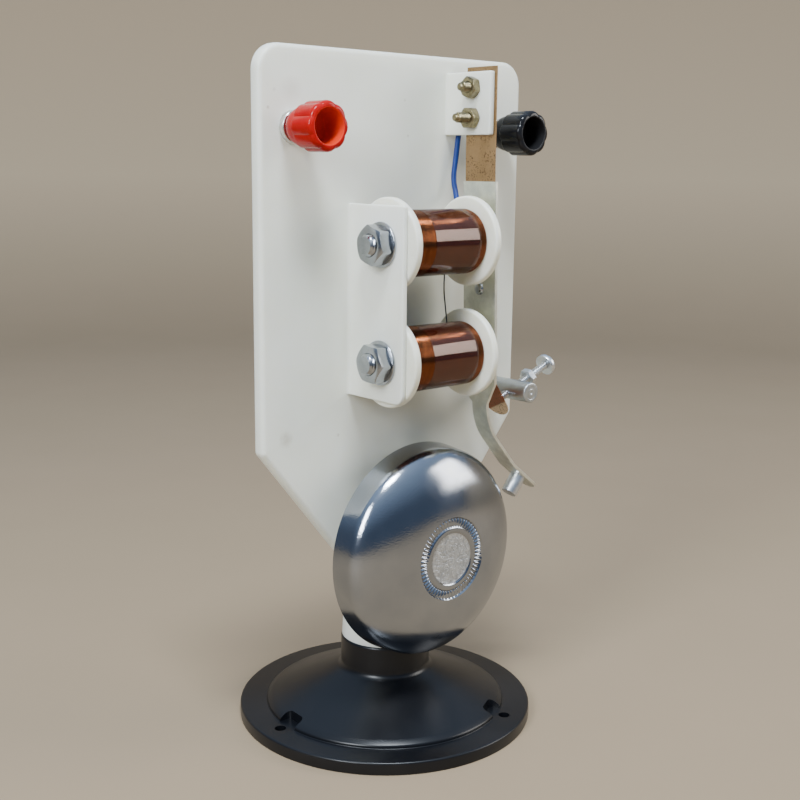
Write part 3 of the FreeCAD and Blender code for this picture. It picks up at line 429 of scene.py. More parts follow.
# ---- materials
# Marks on the panel's front, each (x, z, radius, strength): worn moulding marks near its left edge.
PANEL_MARKS = (
    (-38.5, 186.4, 2.4, 0.25), (-43.9, 186.1, 0.4, 0.8), (-45.9, 181.5, 0.4, 0.8), (-41.0, 92.5, 1.7, 0.6),
    (-22.7, 91.3, 0.4, 0.8), (1.3, 185.2, 0.35, 0.8), (2.6, 175.3, 0.35, 0.8),
)
GONG_AXIS_HEIGHT = 55.8
GONG_DULL_RADIUS = 7.5
# The leaf's tab has painted reflections: lighter tan below a slanted line, and a browner painted dark
# reflection between that line and its bend.
LEAF_REFLECTION_LINE = (87.5, 88.0)
LEAF_REFLECTION_SLANT = 0.44
LEAF_DARK_REFLECTION_LINE = (103.5, 106.0)
TERMINAL_X = 38.1
TERMINAL_HEIGHT = 176.7
CAP_GLOW_RADIUS = 4.85
CAP_GLOW_LINE = (-13.2, -12.9)


def make_white_plastic():
    """Cream white moulded plastic: clouded, slightly see-through, with specks and fine scuffs."""
    s = Surface(
        "panel_white", Subsurface_Weight=0.35, Subsurface_Scale=0.004, Subsurface_Radius=(1.0, 0.95, 0.7))
    tone = s.tones(s.noise(28, 3), 0.35, 0.68, (0.745, 0.75, 0.655), (0.80, 0.81, 0.725))
    speck = s.ramp(s.cells(5.5), 0.035, 0.06, 1, 0)
    rare = s.ramp(s.noise(9, 2), 0.60, 0.66)
    tone = s.mix(s.math("MULTIPLY", speck, rare), tone, (0.34, 0.32, 0.25))
    for x, z, radius, strength in PANEL_MARKS:
        worn = s.ramp(s.noise(1.6, 4), 0.3, 0.7, 0.2, strength)
        mark = s.math("MULTIPLY", s.zone(x, z, radius, radius * 0.6), worn)
        tone = s.mix(mark, tone, (0.42, 0.39, 0.30))
    s.color(tone)
    s.gloss(s.noise(6, 5), 0.36, 0.50)
    s.bump(s.noise(14, 3), 0.06, 0.5)
    s.bump(s.noise(0.5, 4), 0.004, 0.6)
    return s


def make_bobbin_plastic():
    """Milky moulded plastic of the bobbins."""
    s = Surface(
        "bobbin_plastic", Subsurface_Weight=0.5, Subsurface_Scale=0.003, Subsurface_Radius=(1.0, 0.92, 0.66))
    s.color(s.tones(s.noise(7, 3), 0.35, 0.7, (0.745, 0.735, 0.62), (0.81, 0.805, 0.71)))
    s.gloss(s.noise(3, 4), 0.28, 0.44)
    s.bump(s.noise(0.6, 4), 0.006, 0.6)
    return s


def make_gong_plate():
    """Bright plating over pressed steel: mirror like, finely pebbled, with a dull worn middle."""
    s = Surface("gong_plate", metallic=1.0)
    dull = s.zone(0, GONG_AXIS_HEIGHT, GONG_DULL_RADIUS, 0.15)
    worn = s.ramp(s.noise(1.3, 5, distortion=1.5), 0.35, 0.65)
    plate = s.tones(s.noise(11, 3), 0.35, 0.7, (0.305, 0.33, 0.375), (0.36, 0.385, 0.425))
    s.color(s.mix(dull, plate, s.mix(worn, (0.46, 0.50, 0.55), (0.74, 0.79, 0.86))))
    haze = s.ramp(s.noise(16, 4), 0.40, 0.70, 0.12, 0.20)
    s.roughness(s.math("ADD", haze, s.math("MULTIPLY", dull, 0.22)))
    s.bump(s.noise(1.0, 3), 0.012, 0.5)
    s.bump(s.noise(0.45, 2), 0.030, 0.9)
    s.bump(s.math("MULTIPLY", dull, worn), 0.12, 0.8)
    return s


def make_metal(name, color, rough_low, rough_high, kind, stretch=None, slot=None):
    """Plated or turned metal of a kind below, clouded towards a darker tone, with a fine grain."""
    s = Surface(name, metallic=1.0, slot=slot)
    dark = tuple(c * kind["dark"] for c in color)
    s.color(s.tones(s.noise(kind["cloud"], 4), 0.35, 0.65, dark, color))
    s.gloss(s.noise(*kind["gloss"]), rough_low, rough_high)
    s.bump(s.noise(*kind["grain"], stretch=stretch), kind["height"], 0.5)
    return s


def make_copper_wire():
    """Enamelled copper wire: dark brown with an orange shine."""
    s = Surface("copper_wire", metallic=1.0)
    s.color(s.tones(s.noise(5, 2, stretch=(4, 1, 1)), 0.3, 0.7, (0.13, 0.038, 0.014), (0.21, 0.066, 0.023)))
    s.gloss(s.noise(2.5, 2), 0.15, 0.21)
    return s


def make_film():
    """Clear film, tinted by the wire under it, with a painted copper glint: a pinkish tint on its highlight.
    """
    # The pinkish specular tint paints the copper wire's glint into the film's highlight.
    s = Surface(
        "clear_film", Base_Color=(0.055, 0.009, 0.005, 1.0), Roughness=0.06, Alpha=0.26, IOR=2.1,
        Specular_Tint=(1.0, 0.86, 0.80, 1.0))
    s.bump(s.noise(6, 2, stretch=(0.4, 2, 2)), 0.02, 0.4)
    return s


def make_copper_leaf():
    """Rolled copper sheet, dulled to a tan bronze, with dark tarnish specks and painted reflections on its
    tab.
    """
    s = Surface("copper_leaf", metallic=0.8)
    base = s.tones(s.noise(6, 3), 0.3, 0.7, (0.275, 0.170, 0.078), (0.36, 0.225, 0.11))
    slant = s.math("ADD", s.along("Z"), s.math("MULTIPLY", s.along("Y"), LEAF_REFLECTION_SLANT))
    above_reflection_line = s.ramp(slant, *[line * MM for line in LEAF_REFLECTION_LINE])
    below_bend = s.ramp(s.along("Z"), *[line * MM for line in LEAF_DARK_REFLECTION_LINE], 1, 0)
    # Painted reflection: the tab is a lighter tan below the slanted line.
    base = s.mix(above_reflection_line, (0.66, 0.47, 0.30), base)
    # Painted dark reflection: brown between the slanted line and the bend.
    base = s.mix(s.math("MULTIPLY", above_reflection_line, below_bend), base, (0.27, 0.085, 0.034))
    specks = s.ramp(s.noise(0.5, 2), 0.55, 0.61)
    patch = s.ramp(s.noise(4.5, 2), 0.38, 0.52)
    s.color(s.mix(s.math("MULTIPLY", specks, patch), base, (0.13, 0.075, 0.035)))
    s.gloss(s.noise(1.2, 3), 0.36, 0.52)
    s.bump(s.noise(0.4, 3, stretch=(1, 1, 0.15)), 0.005, 0.5)
    return s


def make_foot_black():
    """Glossy black moulding, very lightly dusted."""
    s = Surface("foot_black", IOR=1.42)
    s.color(s.tones(s.noise(22, 3), 0.45, 0.75, (0.003, 0.0035, 0.005), (0.007, 0.007, 0.008)))
    s.roughness(s.ramp(s.noise(25, 2), 0.35, 0.7, 0.29, 0.36))
    s.bump(s.noise(0.9, 3), 0.003, 0.4)
    return s


def make_cap_plastic(name, dark, light, recess, subsurface, x):
    """Glossy moulded plastic of a cap, whose wall is thinner round its recess, with a painted glow: the
    recess is coloured lighter, as light shines through that thin wall.
    """
    s = Surface(
        name, Subsurface_Weight=subsurface, Subsurface_Scale=0.002, Subsurface_Radius=(1.0, 0.10, 0.04),
        IOR=1.30)
    outside = s.tones(s.noise(4, 2), 0.3, 0.7, dark, light)
    in_front = s.ramp(s.along("Y"), *[line * MM for line in CAP_GLOW_LINE], 1, 0)
    within = s.math("MULTIPLY", s.zone(x, TERMINAL_HEIGHT, CAP_GLOW_RADIUS, 0.12), in_front)
    # The recess colour is a painted glow of light through the thin wall.
    s.color(s.mix(within, outside, recess))
    s.roughness(s.math("ADD", s.ramp(s.noise(2.5, 3), 0.3, 0.7, 0.12, 0.20), s.math("MULTIPLY", within, 0.3)))
    s.bump(s.noise(1.3, 3), 0.008, 0.35)
    return s


def make_blue_pvc():
    s = Surface("blue_pvc", IOR=1.4)
    s.color(s.tones(s.noise(3, 3), 0.3, 0.7, (0.004, 0.023, 0.15), (0.007, 0.038, 0.22)))
    s.gloss(s.noise(1.2, 3), 0.42, 0.56)
    s.bump(s.noise(0.7, 3), 0.008, 0.4)
    return s


ZINC = {"cloud": 3.5, "dark": 0.80, "gloss": (1.6, 5), "grain": (0.35, 4), "height": 0.008}
BRASS = {"cloud": 1.1, "dark": 0.60, "gloss": (0.9, 4), "grain": (0.3, 3), "height": 0.005}
white = make_white_plastic()
bobbin_white = make_bobbin_plastic()
plated = make_gong_plate()
zinc = make_metal("zinc_plate", (0.72, 0.75, 0.78), 0.27, 0.40, ZINC)
# A darker copy of the zinc plate for the cores, the core washers and nuts and the rivets: its darker colour
# is painted shade.
shaded_zinc = make_metal("zinc_shaded", (0.41, 0.43, 0.46), 0.17, 0.26, ZINC, slot="zinc_plate")
post_zinc = make_metal("zinc_post", (0.54, 0.57, 0.58), 0.32, 0.44, ZINC, slot="zinc_plate")
strip_zinc = make_metal("armature_zinc", (0.84, 0.85, 0.76), 0.32, 0.46, ZINC, stretch=(1, 1, 0.1))
nickel = make_metal("nickel_plate", (0.70, 0.69, 0.66), 0.18, 0.34, ZINC)
copper_wire = make_copper_wire()
film = make_film()
copper_leaf = make_copper_leaf()
brass = make_metal("brass", (0.31, 0.265, 0.155), 0.24, 0.42, BRASS)
foot_black = make_foot_black()
# The third colour of each cap is the painted glow in its recess.
red_plastic = make_cap_plastic(
    "red_plastic", (0.35, 0.003, 0.003), (0.41, 0.005, 0.005), (0.60, 0.030, 0.006), 0.12, -TERMINAL_X)
black_plastic = make_cap_plastic(
    "black_plastic", (0.008, 0.008, 0.009), (0.012, 0.012, 0.014), (0.009, 0.009, 0.010), 0.0, TERMINAL_X)
blue_pvc = make_blue_pvc()
tinned = make_metal("tinned_copper", (0.62, 0.55, 0.45), 0.24, 0.42, BRASS)

# ---- foot
FOOT_RADIUS = 45.0
FOOT_EDGE = 3.8
FOOT_CONE_RADIUS = 36.8
FOOT_SHOULDER = 1.9
FOOT_SHOULDER_RUN = 1.5
FOOT_RISER = 0.45 * FOOT_SHOULDER
NECK_RADIUS = 13.7
NECK_BORE = 12.1
NECK_FOOT = 15.0
NECK_TOP = node_box("base_foot")[1].z
FOOT_WALL = 2.4
HOLE_CIRCLE_RADIUS = 39.0
HOLE_RADIUS = 1.7
HOLE_COUNT = 3
HOLE_FIRST_ANGLE = 177.5
POCKET_RADIUS = 3.8
POCKET_INNER_RADIUS = 33.05
POCKET_INNER_ROUND = 1.6
POCKET_CUT_HEIGHT = 14.0


def make_foot():
    shoulder = FOOT_CONE_RADIUS - FOOT_SHOULDER_RUN
    slope = (NECK_FOOT - FOOT_EDGE - FOOT_SHOULDER) / (shoulder - NECK_RADIUS)
    drop = FOOT_WALL * math.hypot(1, slope)
    inner = shoulder - FOOT_WALL

    def under(radius):
        return FOOT_EDGE + FOOT_SHOULDER + (shoulder - radius) * slope - drop

    corners = [
        (inner, 0, 0.3), (FOOT_RADIUS, 0, 0.3), (FOOT_RADIUS, FOOT_EDGE, 0.6),
        (FOOT_CONE_RADIUS, FOOT_EDGE, 0.25), (FOOT_CONE_RADIUS, FOOT_EDGE + FOOT_RISER, 1.1),
        (shoulder, FOOT_EDGE + FOOT_SHOULDER, 6.0), (NECK_RADIUS, NECK_FOOT, 2.2),
        (NECK_RADIUS, NECK_TOP, 0.8), (NECK_BORE, NECK_TOP, 0.3), (NECK_BORE, under(NECK_BORE), 0.5),
        (inner, under(inner), 0.5),
    ]
    foot = lathe_piece("foot", rounded(corners, 6), ORIGIN, Z_AXIS, 192)
    top = FOOT_EDGE + CUT_OVERRUN
    outer = HOLE_CIRCLE_RADIUS + POCKET_RADIUS
    tools = []
    for index in range(HOLE_COUNT):
        angle = math.radians(HOLE_FIRST_ANGLE + 360 / HOLE_COUNT * index)
        centre = Vector((HOLE_CIRCLE_RADIUS * math.cos(angle), HOLE_CIRCLE_RADIUS * math.sin(angle), 0))
        hole = [(0, -CUT_OVERRUN), (HOLE_RADIUS, -CUT_OVERRUN), (HOLE_RADIUS, top), (0, top)]
        tools.append(lathe_piece(f"hole_{index}", hole, centre, Z_AXIS, 48))
        outline = rounded([
            (outer, -POCKET_RADIUS, POCKET_RADIUS * 0.98), (outer, POCKET_RADIUS, POCKET_RADIUS * 0.98),
            (POCKET_INNER_RADIUS, POCKET_RADIUS, POCKET_INNER_ROUND),
            (POCKET_INNER_RADIUS, -POCKET_RADIUS, POCKET_INNER_ROUND),
        ], 12)
        turn = Matrix.Rotation(angle, 3, "Z")

        def place(u, v, d):
            return turn @ Vector((u, v, FOOT_EDGE + d))

        tools.append(slab(f"pocket_{index}", outline, place, POCKET_CUT_HEIGHT))
    return boolean(foot, tools, "DIFFERENCE")


dress(make_foot(), foot_black, node="base_foot")

# ---- panel
PANEL_FRONT = -5.0
PANEL_THICKNESS = 4.5
PANEL_HALF = node_box("back_panel")[1].x
PANEL_TOP = node_box("back_panel")[1].z
PANEL_CORNER = 7.0
PANEL_ROUND = 1.4
TAPER_TOP = 89.0
TAPER_FOOT = 45.0
TAPER_HALF = 13.0
STEM_FOOT = 38.0
STEM_RADIUS = 13.4
STEM_TOP_RADIUS = 12.7
STEM_CROWN = 48.2
STEM_BULGE = (9.14, 45.14)
PLUG_DEPTH = 12.0
PLUG_RADIUS = NECK_BORE - 0.1
BRACKET_LEFT = -18.85
BRACKET_THICKNESS = 1.6
BRACKET_FOOT = 102.7
BRACKET_TOP = 156.6
BRACKET_REACH = 22.9
EAR_LEFT = 17.5
EAR_THICKNESS = 1.8
EAR_FOOT = 175.8
EAR_TOP = 193.4
EAR_REACH = 17.9
WEB_BEVEL = 0.35
FILLET_END_GAP = 0.2
FILLET_ROOT = 0.4
MECHANISM_Y = -19.0
# Each fillet is (x, side of its web, foot, top, radius).
FILLETS = (
    (BRACKET_LEFT, -1, BRACKET_FOOT, BRACKET_TOP, 1.2),
    (BRACKET_LEFT + BRACKET_THICKNESS, 1, BRACKET_FOOT, BRACKET_TOP, 1.2),
    (EAR_LEFT, -1, EAR_FOOT, EAR_TOP, 0.8),
)


def make_web(name, left, thickness, foot, top, reach, lower_round, upper_round):
    """A plate standing out of the panel's front."""
    front = PANEL_FRONT - reach
    root = PANEL_FRONT + PANEL_THICKNESS / 2
    outline = rounded([
        (root, foot, 0), (root, top, 0), (front, top, upper_round), (front, foot, lower_round),
    ], 6)
    return slab(name, outline, lambda y, z, d: (left + d, y, z), thickness, WEB_BEVEL)


def make_fillet(name, x, side, foot, top, radius):
    """The concave fillet between a web and the panel's front, on one side of the web."""
    arc = [(x + side * radius * (1 - s), PANEL_FRONT - radius * (1 - c)) for s, c in quarter(8)]
    inside = (x - side * FILLET_ROOT, PANEL_FRONT + FILLET_ROOT)
    outline = [inside, (arc[0][0], inside[1])] + arc + [(inside[0], arc[-1][1])]
    start = foot + FILLET_END_GAP
    return slab(name, outline, lambda u, v, d: (u, v, start + d), top - FILLET_END_GAP - start)


def make_stem():
    """The panel's round stem: a plug in the foot's neck, a taper above it and a domed top."""
    outline = [
        (0, NECK_TOP - PLUG_DEPTH), (PLUG_RADIUS, NECK_TOP - PLUG_DEPTH), (PLUG_RADIUS, NECK_TOP),
        (STEM_RADIUS, NECK_TOP + 0.02), (STEM_TOP_RADIUS, STEM_FOOT),
    ]
    outline += arc_through(outline[-1], STEM_BULGE, (0, STEM_CROWN), 14)
    return lathe_piece("stem", outline, ORIGIN, Z_AXIS)


def make_panel():
    outline = rounded([
        (-TAPER_HALF, STEM_FOOT, 0), (-TAPER_HALF, TAPER_FOOT, 2.5), (-PANEL_HALF, TAPER_TOP, 2.0),
        (-PANEL_HALF, PANEL_TOP, PANEL_CORNER), (PANEL_HALF, PANEL_TOP, PANEL_CORNER),
        (PANEL_HALF, TAPER_TOP, 2.0), (TAPER_HALF, TAPER_FOOT, 2.5), (TAPER_HALF, STEM_FOOT, 0),
    ], 10)
    plate = slab("panel", outline, lambda x, z, d: (x, PANEL_FRONT + d, z), PANEL_THICKNESS, PANEL_ROUND, 5)
    joined = [
        make_web(
            "bracket", BRACKET_LEFT, BRACKET_THICKNESS, BRACKET_FOOT, BRACKET_TOP, BRACKET_REACH, 3.0, 0.6),
        make_web("ear", EAR_LEFT, EAR_THICKNESS, EAR_FOOT, EAR_TOP, EAR_REACH, 0.5, 0.5),
        make_stem(),
    ]
    joined += [make_fillet(f"fillet_{index}", *fillet) for index, fillet in enumerate(FILLETS)]
    return boolean(plate, joined, "UNION")


dress(make_panel(), white, node="back_panel")

# ---- gong
gong_low, gong_high = node_box("bell_gong")
GONG_CENTRE = Vector((0, gong_high.y, (gong_low.z + gong_high.z) / 2))
GONG_RADIUS = 31.6
GONG_WALL = 0.8
GONG_SKIRT = 5.8
GONG_DRAFT = 0.5
GONG_SHOULDER = 4.6
GONG_SHOULDER_IN = 0.2
GONG_DOME = 10.0
GONG_FACE_SLOPE = math.radians(7.0)
SKIRT_STEPS = 6
DOME_STEPS = 44
GONG_DEPTH = gong_high.y - gong_low.y
RING_RADIUS = 12.3
RING_DEPTH = 0.5
STEP_RADIUS = 9.2
DISC_RADIUS = 7.55
DISC_DEPTH = 0.35
DISC_STEPS = 9
FLUTE_COUNT = 60
FLUTE_HEIGHT = 0.46
GONG_SEGMENTS = 600


def gong_outline():
    """The gong's outer line as (radius, forward), from the rim to the ring of flutes."""
    skirt = Vector((GONG_RADIUS - GONG_DRAFT, GONG_SKIRT))
    edge = Vector((RING_RADIUS, GONG_DEPTH))
    shares = [step / SKIRT_STEPS for step in range(SKIRT_STEPS)]
    points = [(GONG_RADIUS - GONG_DRAFT * share, GONG_SKIRT * share) for share in shares]
    rise = skirt + Vector((-GONG_SHOULDER_IN, GONG_SHOULDER))
    fall = edge + Vector((math.cos(GONG_FACE_SLOPE), -math.sin(GONG_FACE_SLOPE))) * GONG_DOME
    for step in range(DOME_STEPS + 1):
        t = step / DOME_STEPS
        u = 1 - t
        points.append(tuple(skirt * u**3 + rise * 3 * u * u * t + fall * 3 * u * t * t + edge * t**3))
    return points


def make_gong():
    """The pressed gong, with its ring of radial flutes, its raised ring and its plain middle."""
    outer = gong_outline()
    face = GONG_DEPTH
    floor = face - RING_DEPTH
    disc = face - DISC_DEPTH
    # Each station is (radius, forward, share of the flutes' height). Small steps round the edges.
    stations = [(r, h, 0.0) for r, h in outer] + [
        (RING_RADIUS - 0.22, face - 0.2, 0.0), (RING_RADIUS - 0.45, floor + 0.02, 0.3),
        (RING_RADIUS - 0.75, floor, 1.0), (STEP_RADIUS + 0.75, floor, 1.0),
        (STEP_RADIUS + 0.45, floor + 0.02, 0.3), (STEP_RADIUS + 0.2, face - 0.22, 0.0),
        (STEP_RADIUS, face - 0.06, 0.0), (STEP_RADIUS - 0.3, face, 0.0), (STEP_RADIUS - 1.0, face, 0.0),
        (STEP_RADIUS - 1.3, face - 0.06, 0.0), (DISC_RADIUS + 0.12, disc + 0.1, 0.0),
        (DISC_RADIUS, disc, 0.0),
    ]
    stations += [(DISC_RADIUS * (1 - step / DISC_STEPS), disc, 0.0) for step in range(1, DISC_STEPS + 1)]
    inside = []
    for (r, h), (next_r, next_h) in zip(outer, outer[1:]):
        run = math.hypot(next_r - r, next_h - h)
        inside.append((r - GONG_WALL * (next_h - h) / run, h + GONG_WALL * (next_r - r) / run, 0.0))
    inside += [(RING_RADIUS - 0.8, floor - GONG_WALL, 0.0), (0, floor - GONG_WALL, 0.0)]

    def fluted(forward, flute):
        return lambda angle: forward + flute * FLUTE_HEIGHT * (0.5 + 0.5 * math.cos(angle * FLUTE_COUNT))

    outline = [(radius, fluted(forward, flute)) for radius, forward, flute in stations + inside[::-1]]
    return lathe_piece("gong", outline, GONG_CENTRE, -Y_AXIS, GONG_SEGMENTS, 40.0)


dress(make_gong(), plated, node="bell_gong")

# ---- coils
BOBBIN_LEFT = BRACKET_LEFT + BRACKET_THICKNESS
BOBBIN_LENGTH = 32.05
FLANGE_RADIUS = 12.8
FLANGE_THICKNESS = 2.3
FLANGE_ROUND = 0.7
BARREL_RADIUS = 5.3
CORE_RADIUS = 4.0
STUB_RADIUS = 3.0
STUB_LENGTH = 7.6
STUB_PITCH = 1.0
STUB_CHAMFER = 0.7
POLE_PROJECTION = 1.3
WINDING_RADIUS = 9.25
WINDING_FOOT_RADIUS = BARREL_RADIUS + 0.02
WINDING_END_GAP = 0.05
WINDING_EDGE = 0.6
WINDING_EDGE_DROP = 0.25
WINDING_DRIFT = 0.03
WIRE_PITCH = 0.27
WIRE_RELIEF = 0.12
ROWS_PER_TURN = 6
FILM_THICKNESS = 0.12
FILM_LEFT = 7.95
FILM_RIGHT = 2.5
FILM_OVERLAP = 0.05
FILM_OVERLAP_ANGLES = (0.2, 1.9)
CORE_WASHER_RADIUS = 6.25
CORE_WASHER_THICKNESS = 0.8
CORE_NUT_FLATS = 10.0
CORE_NUT_THICKNESS = 3.8
NUT_SPINS = {"upper": 12.0, "lower": 25.0}


def make_bobbin(name, centre_z):
    bore = CORE_RADIUS + 0.1
    length = BOBBIN_LENGTH
    flange = FLANGE_THICKNESS
    corners = [
        (bore, 0, 0.2), (FLANGE_RADIUS, 0, FLANGE_ROUND), (FLANGE_RADIUS, flange, FLANGE_ROUND),
        (BARREL_RADIUS, flange, 0), (BARREL_RADIUS, length - flange, 0),
        (FLANGE_RADIUS, length - flange, FLANGE_ROUND), (FLANGE_RADIUS, length, FLANGE_ROUND),
        (bore, length, 0.4),
    ]
    return lathe_piece(name, rounded(corners, 6), Vector((BOBBIN_LEFT, MECHANISM_Y, centre_z)), X_AXIS, 128)


def make_winding(name, centre_z):
    """Close turns of wire, each a ridge that climbs round the coil."""
    start = Vector((BOBBIN_LEFT + FLANGE_THICKNESS + WINDING_END_GAP, MECHANISM_Y, centre_z))
    length = BOBBIN_LENGTH - 2 * FLANGE_THICKNESS - 2 * WINDING_END_GAP
    rows = int(length / WIRE_PITCH * ROWS_PER_TURN)

    def ridges(height):
        edge = min(1.0, min(height, length - height) / WINDING_EDGE)
        drift = WINDING_DRIFT * math.sin(height * 0.9 + centre_z)
        valley = WINDING_RADIUS - 0.16 + drift - WINDING_EDGE_DROP * (1 - edge)

        def reach(angle):
            phase = (height / WIRE_PITCH + angle / math.tau) % 1.0
            return valley + WIRE_RELIEF * math.sqrt(max(0.0, 1 - (2 * phase - 1) ** 2 * 0.92))

        return reach

    heights = [length * row / rows for row in range(rows + 1)]
    outline = [(WINDING_FOOT_RADIUS, 0), *((ridges(h), h) for h in heights), (WINDING_FOOT_RADIUS, length)]
    return lathe_piece(name, outline, start, X_AXIS, smooth_angle=60.0)


def make_wrap(name, centre_z):
    """The film round the winding, with its overlap edge standing a little proud."""
    left = BOBBIN_LEFT + FLANGE_THICKNESS + FILM_LEFT
    length = BOBBIN_LEFT + BOBBIN_LENGTH - FLANGE_THICKNESS - FILM_RIGHT - left
    inside = WINDING_RADIUS + 0.01

    def outside(angle):
        low, high = FILM_OVERLAP_ANGLES
        return inside + FILM_THICKNESS - (0.0 if low < angle < high else FILM_OVERLAP)

    outline = [(inside, 0)] + [(outside, share * length) for share in (0, 0.15, 0.5, 0.85, 1)]
    outline += [(inside, length), (inside, length / 2)]
    return lathe_piece(name, outline, Vector((left, MECHANISM_Y, centre_z)), X_AXIS, 160)


def make_core(name, centre_z):
    """The iron core: chamfered pole face at the right, threaded stub at the left."""
    start = Vector((BOBBIN_LEFT, MECHANISM_Y, centre_z))
    length = BOBBIN_LENGTH + POLE_PROJECTION
    bm = bmesh.new()
    corners = [(0, 0, 0), (CORE_RADIUS, 0, 0), (CORE_RADIUS, length, 0.5), (0, length, 0)]
    lathe(bm, rounded(corners, 4), start, X_AXIS, 64)
    rings = thread_rings(STUB_RADIUS, STUB_PITCH, 0.0, STUB_LENGTH, STUB_CHAMFER, segments=64)
    rings.append(ring_of(64, (STUB_RADIUS - STUB_CHAMFER) * 0.94, STUB_LENGTH))
    skin_along(bm, rings, start, -X_AXIS)
    return finish_mesh(name, bm)


COIL_PIECES = (
    ("bobbin", make_bobbin, bobbin_white), ("winding", make_winding, copper_wire), ("film", make_wrap, film),
    ("core", make_core, shaded_zinc),
)
bm_washers = bmesh.new()
bm_nuts = bmesh.new()
for place, spin in NUT_SPINS.items():
    height = node_centre("bobbin_" + place).z
    for kind, make, surface in COIL_PIECES:
        dress(make(f"{kind}_{place}_look", height), surface)
    seat = Vector((BRACKET_LEFT, MECHANISM_Y, height))
    nut_seat = seat - X_AXIS * CORE_WASHER_THICKNESS
    washer(bm_washers, CORE_WASHER_RADIUS, STUB_RADIUS + 0.1, CORE_WASHER_THICKNESS, seat, -X_AXIS)
    hex_nut(bm_nuts, CORE_NUT_FLATS, CORE_NUT_THICKNESS, STUB_RADIUS - 0.1, nut_seat, -X_AXIS, spin)
dress(finish_mesh("core_washers_look", bm_washers), shaded_zinc)
dress(finish_mesh("core_nuts_look", bm_nuts), shaded_zinc)

link_low, link_high = node_box("link_wire")
LINK_DIAMETER = 0.4
link_points = [
    (4.7, MECHANISM_Y, link_high.z + 0.1), (4.45, MECHANISM_Y, 132.6), (5.2, MECHANISM_Y, 128.0),
    (6.0, MECHANISM_Y, link_low.z - 0.1),
]
dress(tube_curve("link_wire_look", link_points, LINK_DIAMETER), foot_black)

# ---- leaf spring
LEAF_LEFT = EAR_LEFT + EAR_THICKNESS
LEAF_Y = -17.65
LEAF_THICKNESS = 0.3
LEAF_HALF = 6.025
LEAF_BEVEL = 0.06
LEAF_TOP = node_box("leaf_spring")[1].z
LEAF_NARROW = 116.5
TAB_BEND = 106.0
TAB_BEND_RADIUS = 1.2
TAB_ANGLE = math.radians(33.4)
TAB_HALF = 5.2
TAB_END_HALF = 0.35
TAB_DROP = 11.3
HINGE_HEIGHT = 169.0
HAMMER_LEAN = math.radians(1.6)
FLEX_HALF = 5.0
FLEX_STEPS = 20
ARMATURE_TOP = 162.7


def lean_out(x, z):
    """A point of the hanging hammer, turned about the hinge line so that its foot leans right."""
    across = x - LEAF_LEFT
    rise = z - HINGE_HEIGHT
    sine = math.sin(HAMMER_LEAN)
    cosine = math.cos(HAMMER_LEAN)
    return LEAF_LEFT + across * cosine - rise * sine, HINGE_HEIGHT + rise * cosine + across * sine


def make_leaf():
    """The copper leaf, from above the ear down to the rounded end of its bent contact tab."""
    # Each station is (x, z, turn, half width).
    stations = [(LEAF_LEFT, LEAF_TOP, 0.0, LEAF_HALF)]
    stations += [(LEAF_LEFT, LEAF_TOP - 1.0 - step * 2.0, 0.0, LEAF_HALF) for step in range(9)]
    x = LEAF_LEFT
    z = HINGE_HEIGHT + FLEX_HALF
    for step in range(FLEX_STEPS + 1):
        share = step / FLEX_STEPS
        turn = HAMMER_LEAN * share * share * (3 - 2 * share)
        stations.append((x, z, turn, LEAF_HALF))
        x += math.sin(turn) * 2 * FLEX_HALF / FLEX_STEPS
        z -= math.cos(turn) * 2 * FLEX_HALF / FLEX_STEPS
    for height in (*range(160, 117, -3), LEAF_NARROW):
        stations.append((*lean_out(LEAF_LEFT, height), HAMMER_LEAN, LEAF_HALF))
    stations.append((*lean_out(LEAF_LEFT, LEAF_NARROW - 0.05), HAMMER_LEAN, TAB_HALF))
    cut_back = TAB_BEND_RADIUS * math.tan(TAB_ANGLE / 2)
    x, z = lean_out(LEAF_LEFT, TAB_BEND + cut_back)
    centre_x = x + TAB_BEND_RADIUS * math.cos(HAMMER_LEAN)
    centre_z = z + TAB_BEND_RADIUS * math.sin(HAMMER_LEAN)
    for step in range(7):
        turn = HAMMER_LEAN + TAB_ANGLE * step / 6
        x = centre_x - TAB_BEND_RADIUS * math.cos(turn)
        z = centre_z - TAB_BEND_RADIUS * math.sin(turn)
        stations.append((x, z, turn, TAB_HALF))
    for sine, cosine in quarter(16):
        reach = TAB_DROP - cut_back + TAB_HALF * sine
        half = max(TAB_HALF * cosine, TAB_END_HALF)
        stations.append((x + math.sin(turn) * reach, z - math.cos(turn) * reach, turn, half))
    bm = bmesh.new()
    strip(bm, [(x, z, t, LEAF_Y - h, LEAF_Y + h) for x, z, t, h in stations], LEAF_THICKNESS, LEAF_BEVEL)
    return finish_mesh("leaf_spring_look", bm)


leaf = make_leaf()
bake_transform(leaf)
dress(leaf, copper_leaf, body=None)

# ---- armature and hammer arm
ARMATURE_THICKNESS = 1.0
ARMATURE_BEVEL = 0.12
ARMATURE_LEFT = LEAF_LEFT - ARMATURE_THICKNESS
ARMATURE_Y = -18.35
ARMATURE_HALF = 6.6
ARMATURE_CORNER = 100.6
ARMATURE_CHAMFER = 104.0
ARM_Y = -18.6
ARM_HALF = 3.1
ARM_START = 97.5
ARM_RADII = (19.0, 16.0)
ARM_TURNS = (math.radians(39.0), math.radians(11.0))
ARM_STRAIGHTS = (10.5, 13.0)
ARM_BEND_STEPS = 14
ARM_STRAIGHT_STEPS = 16


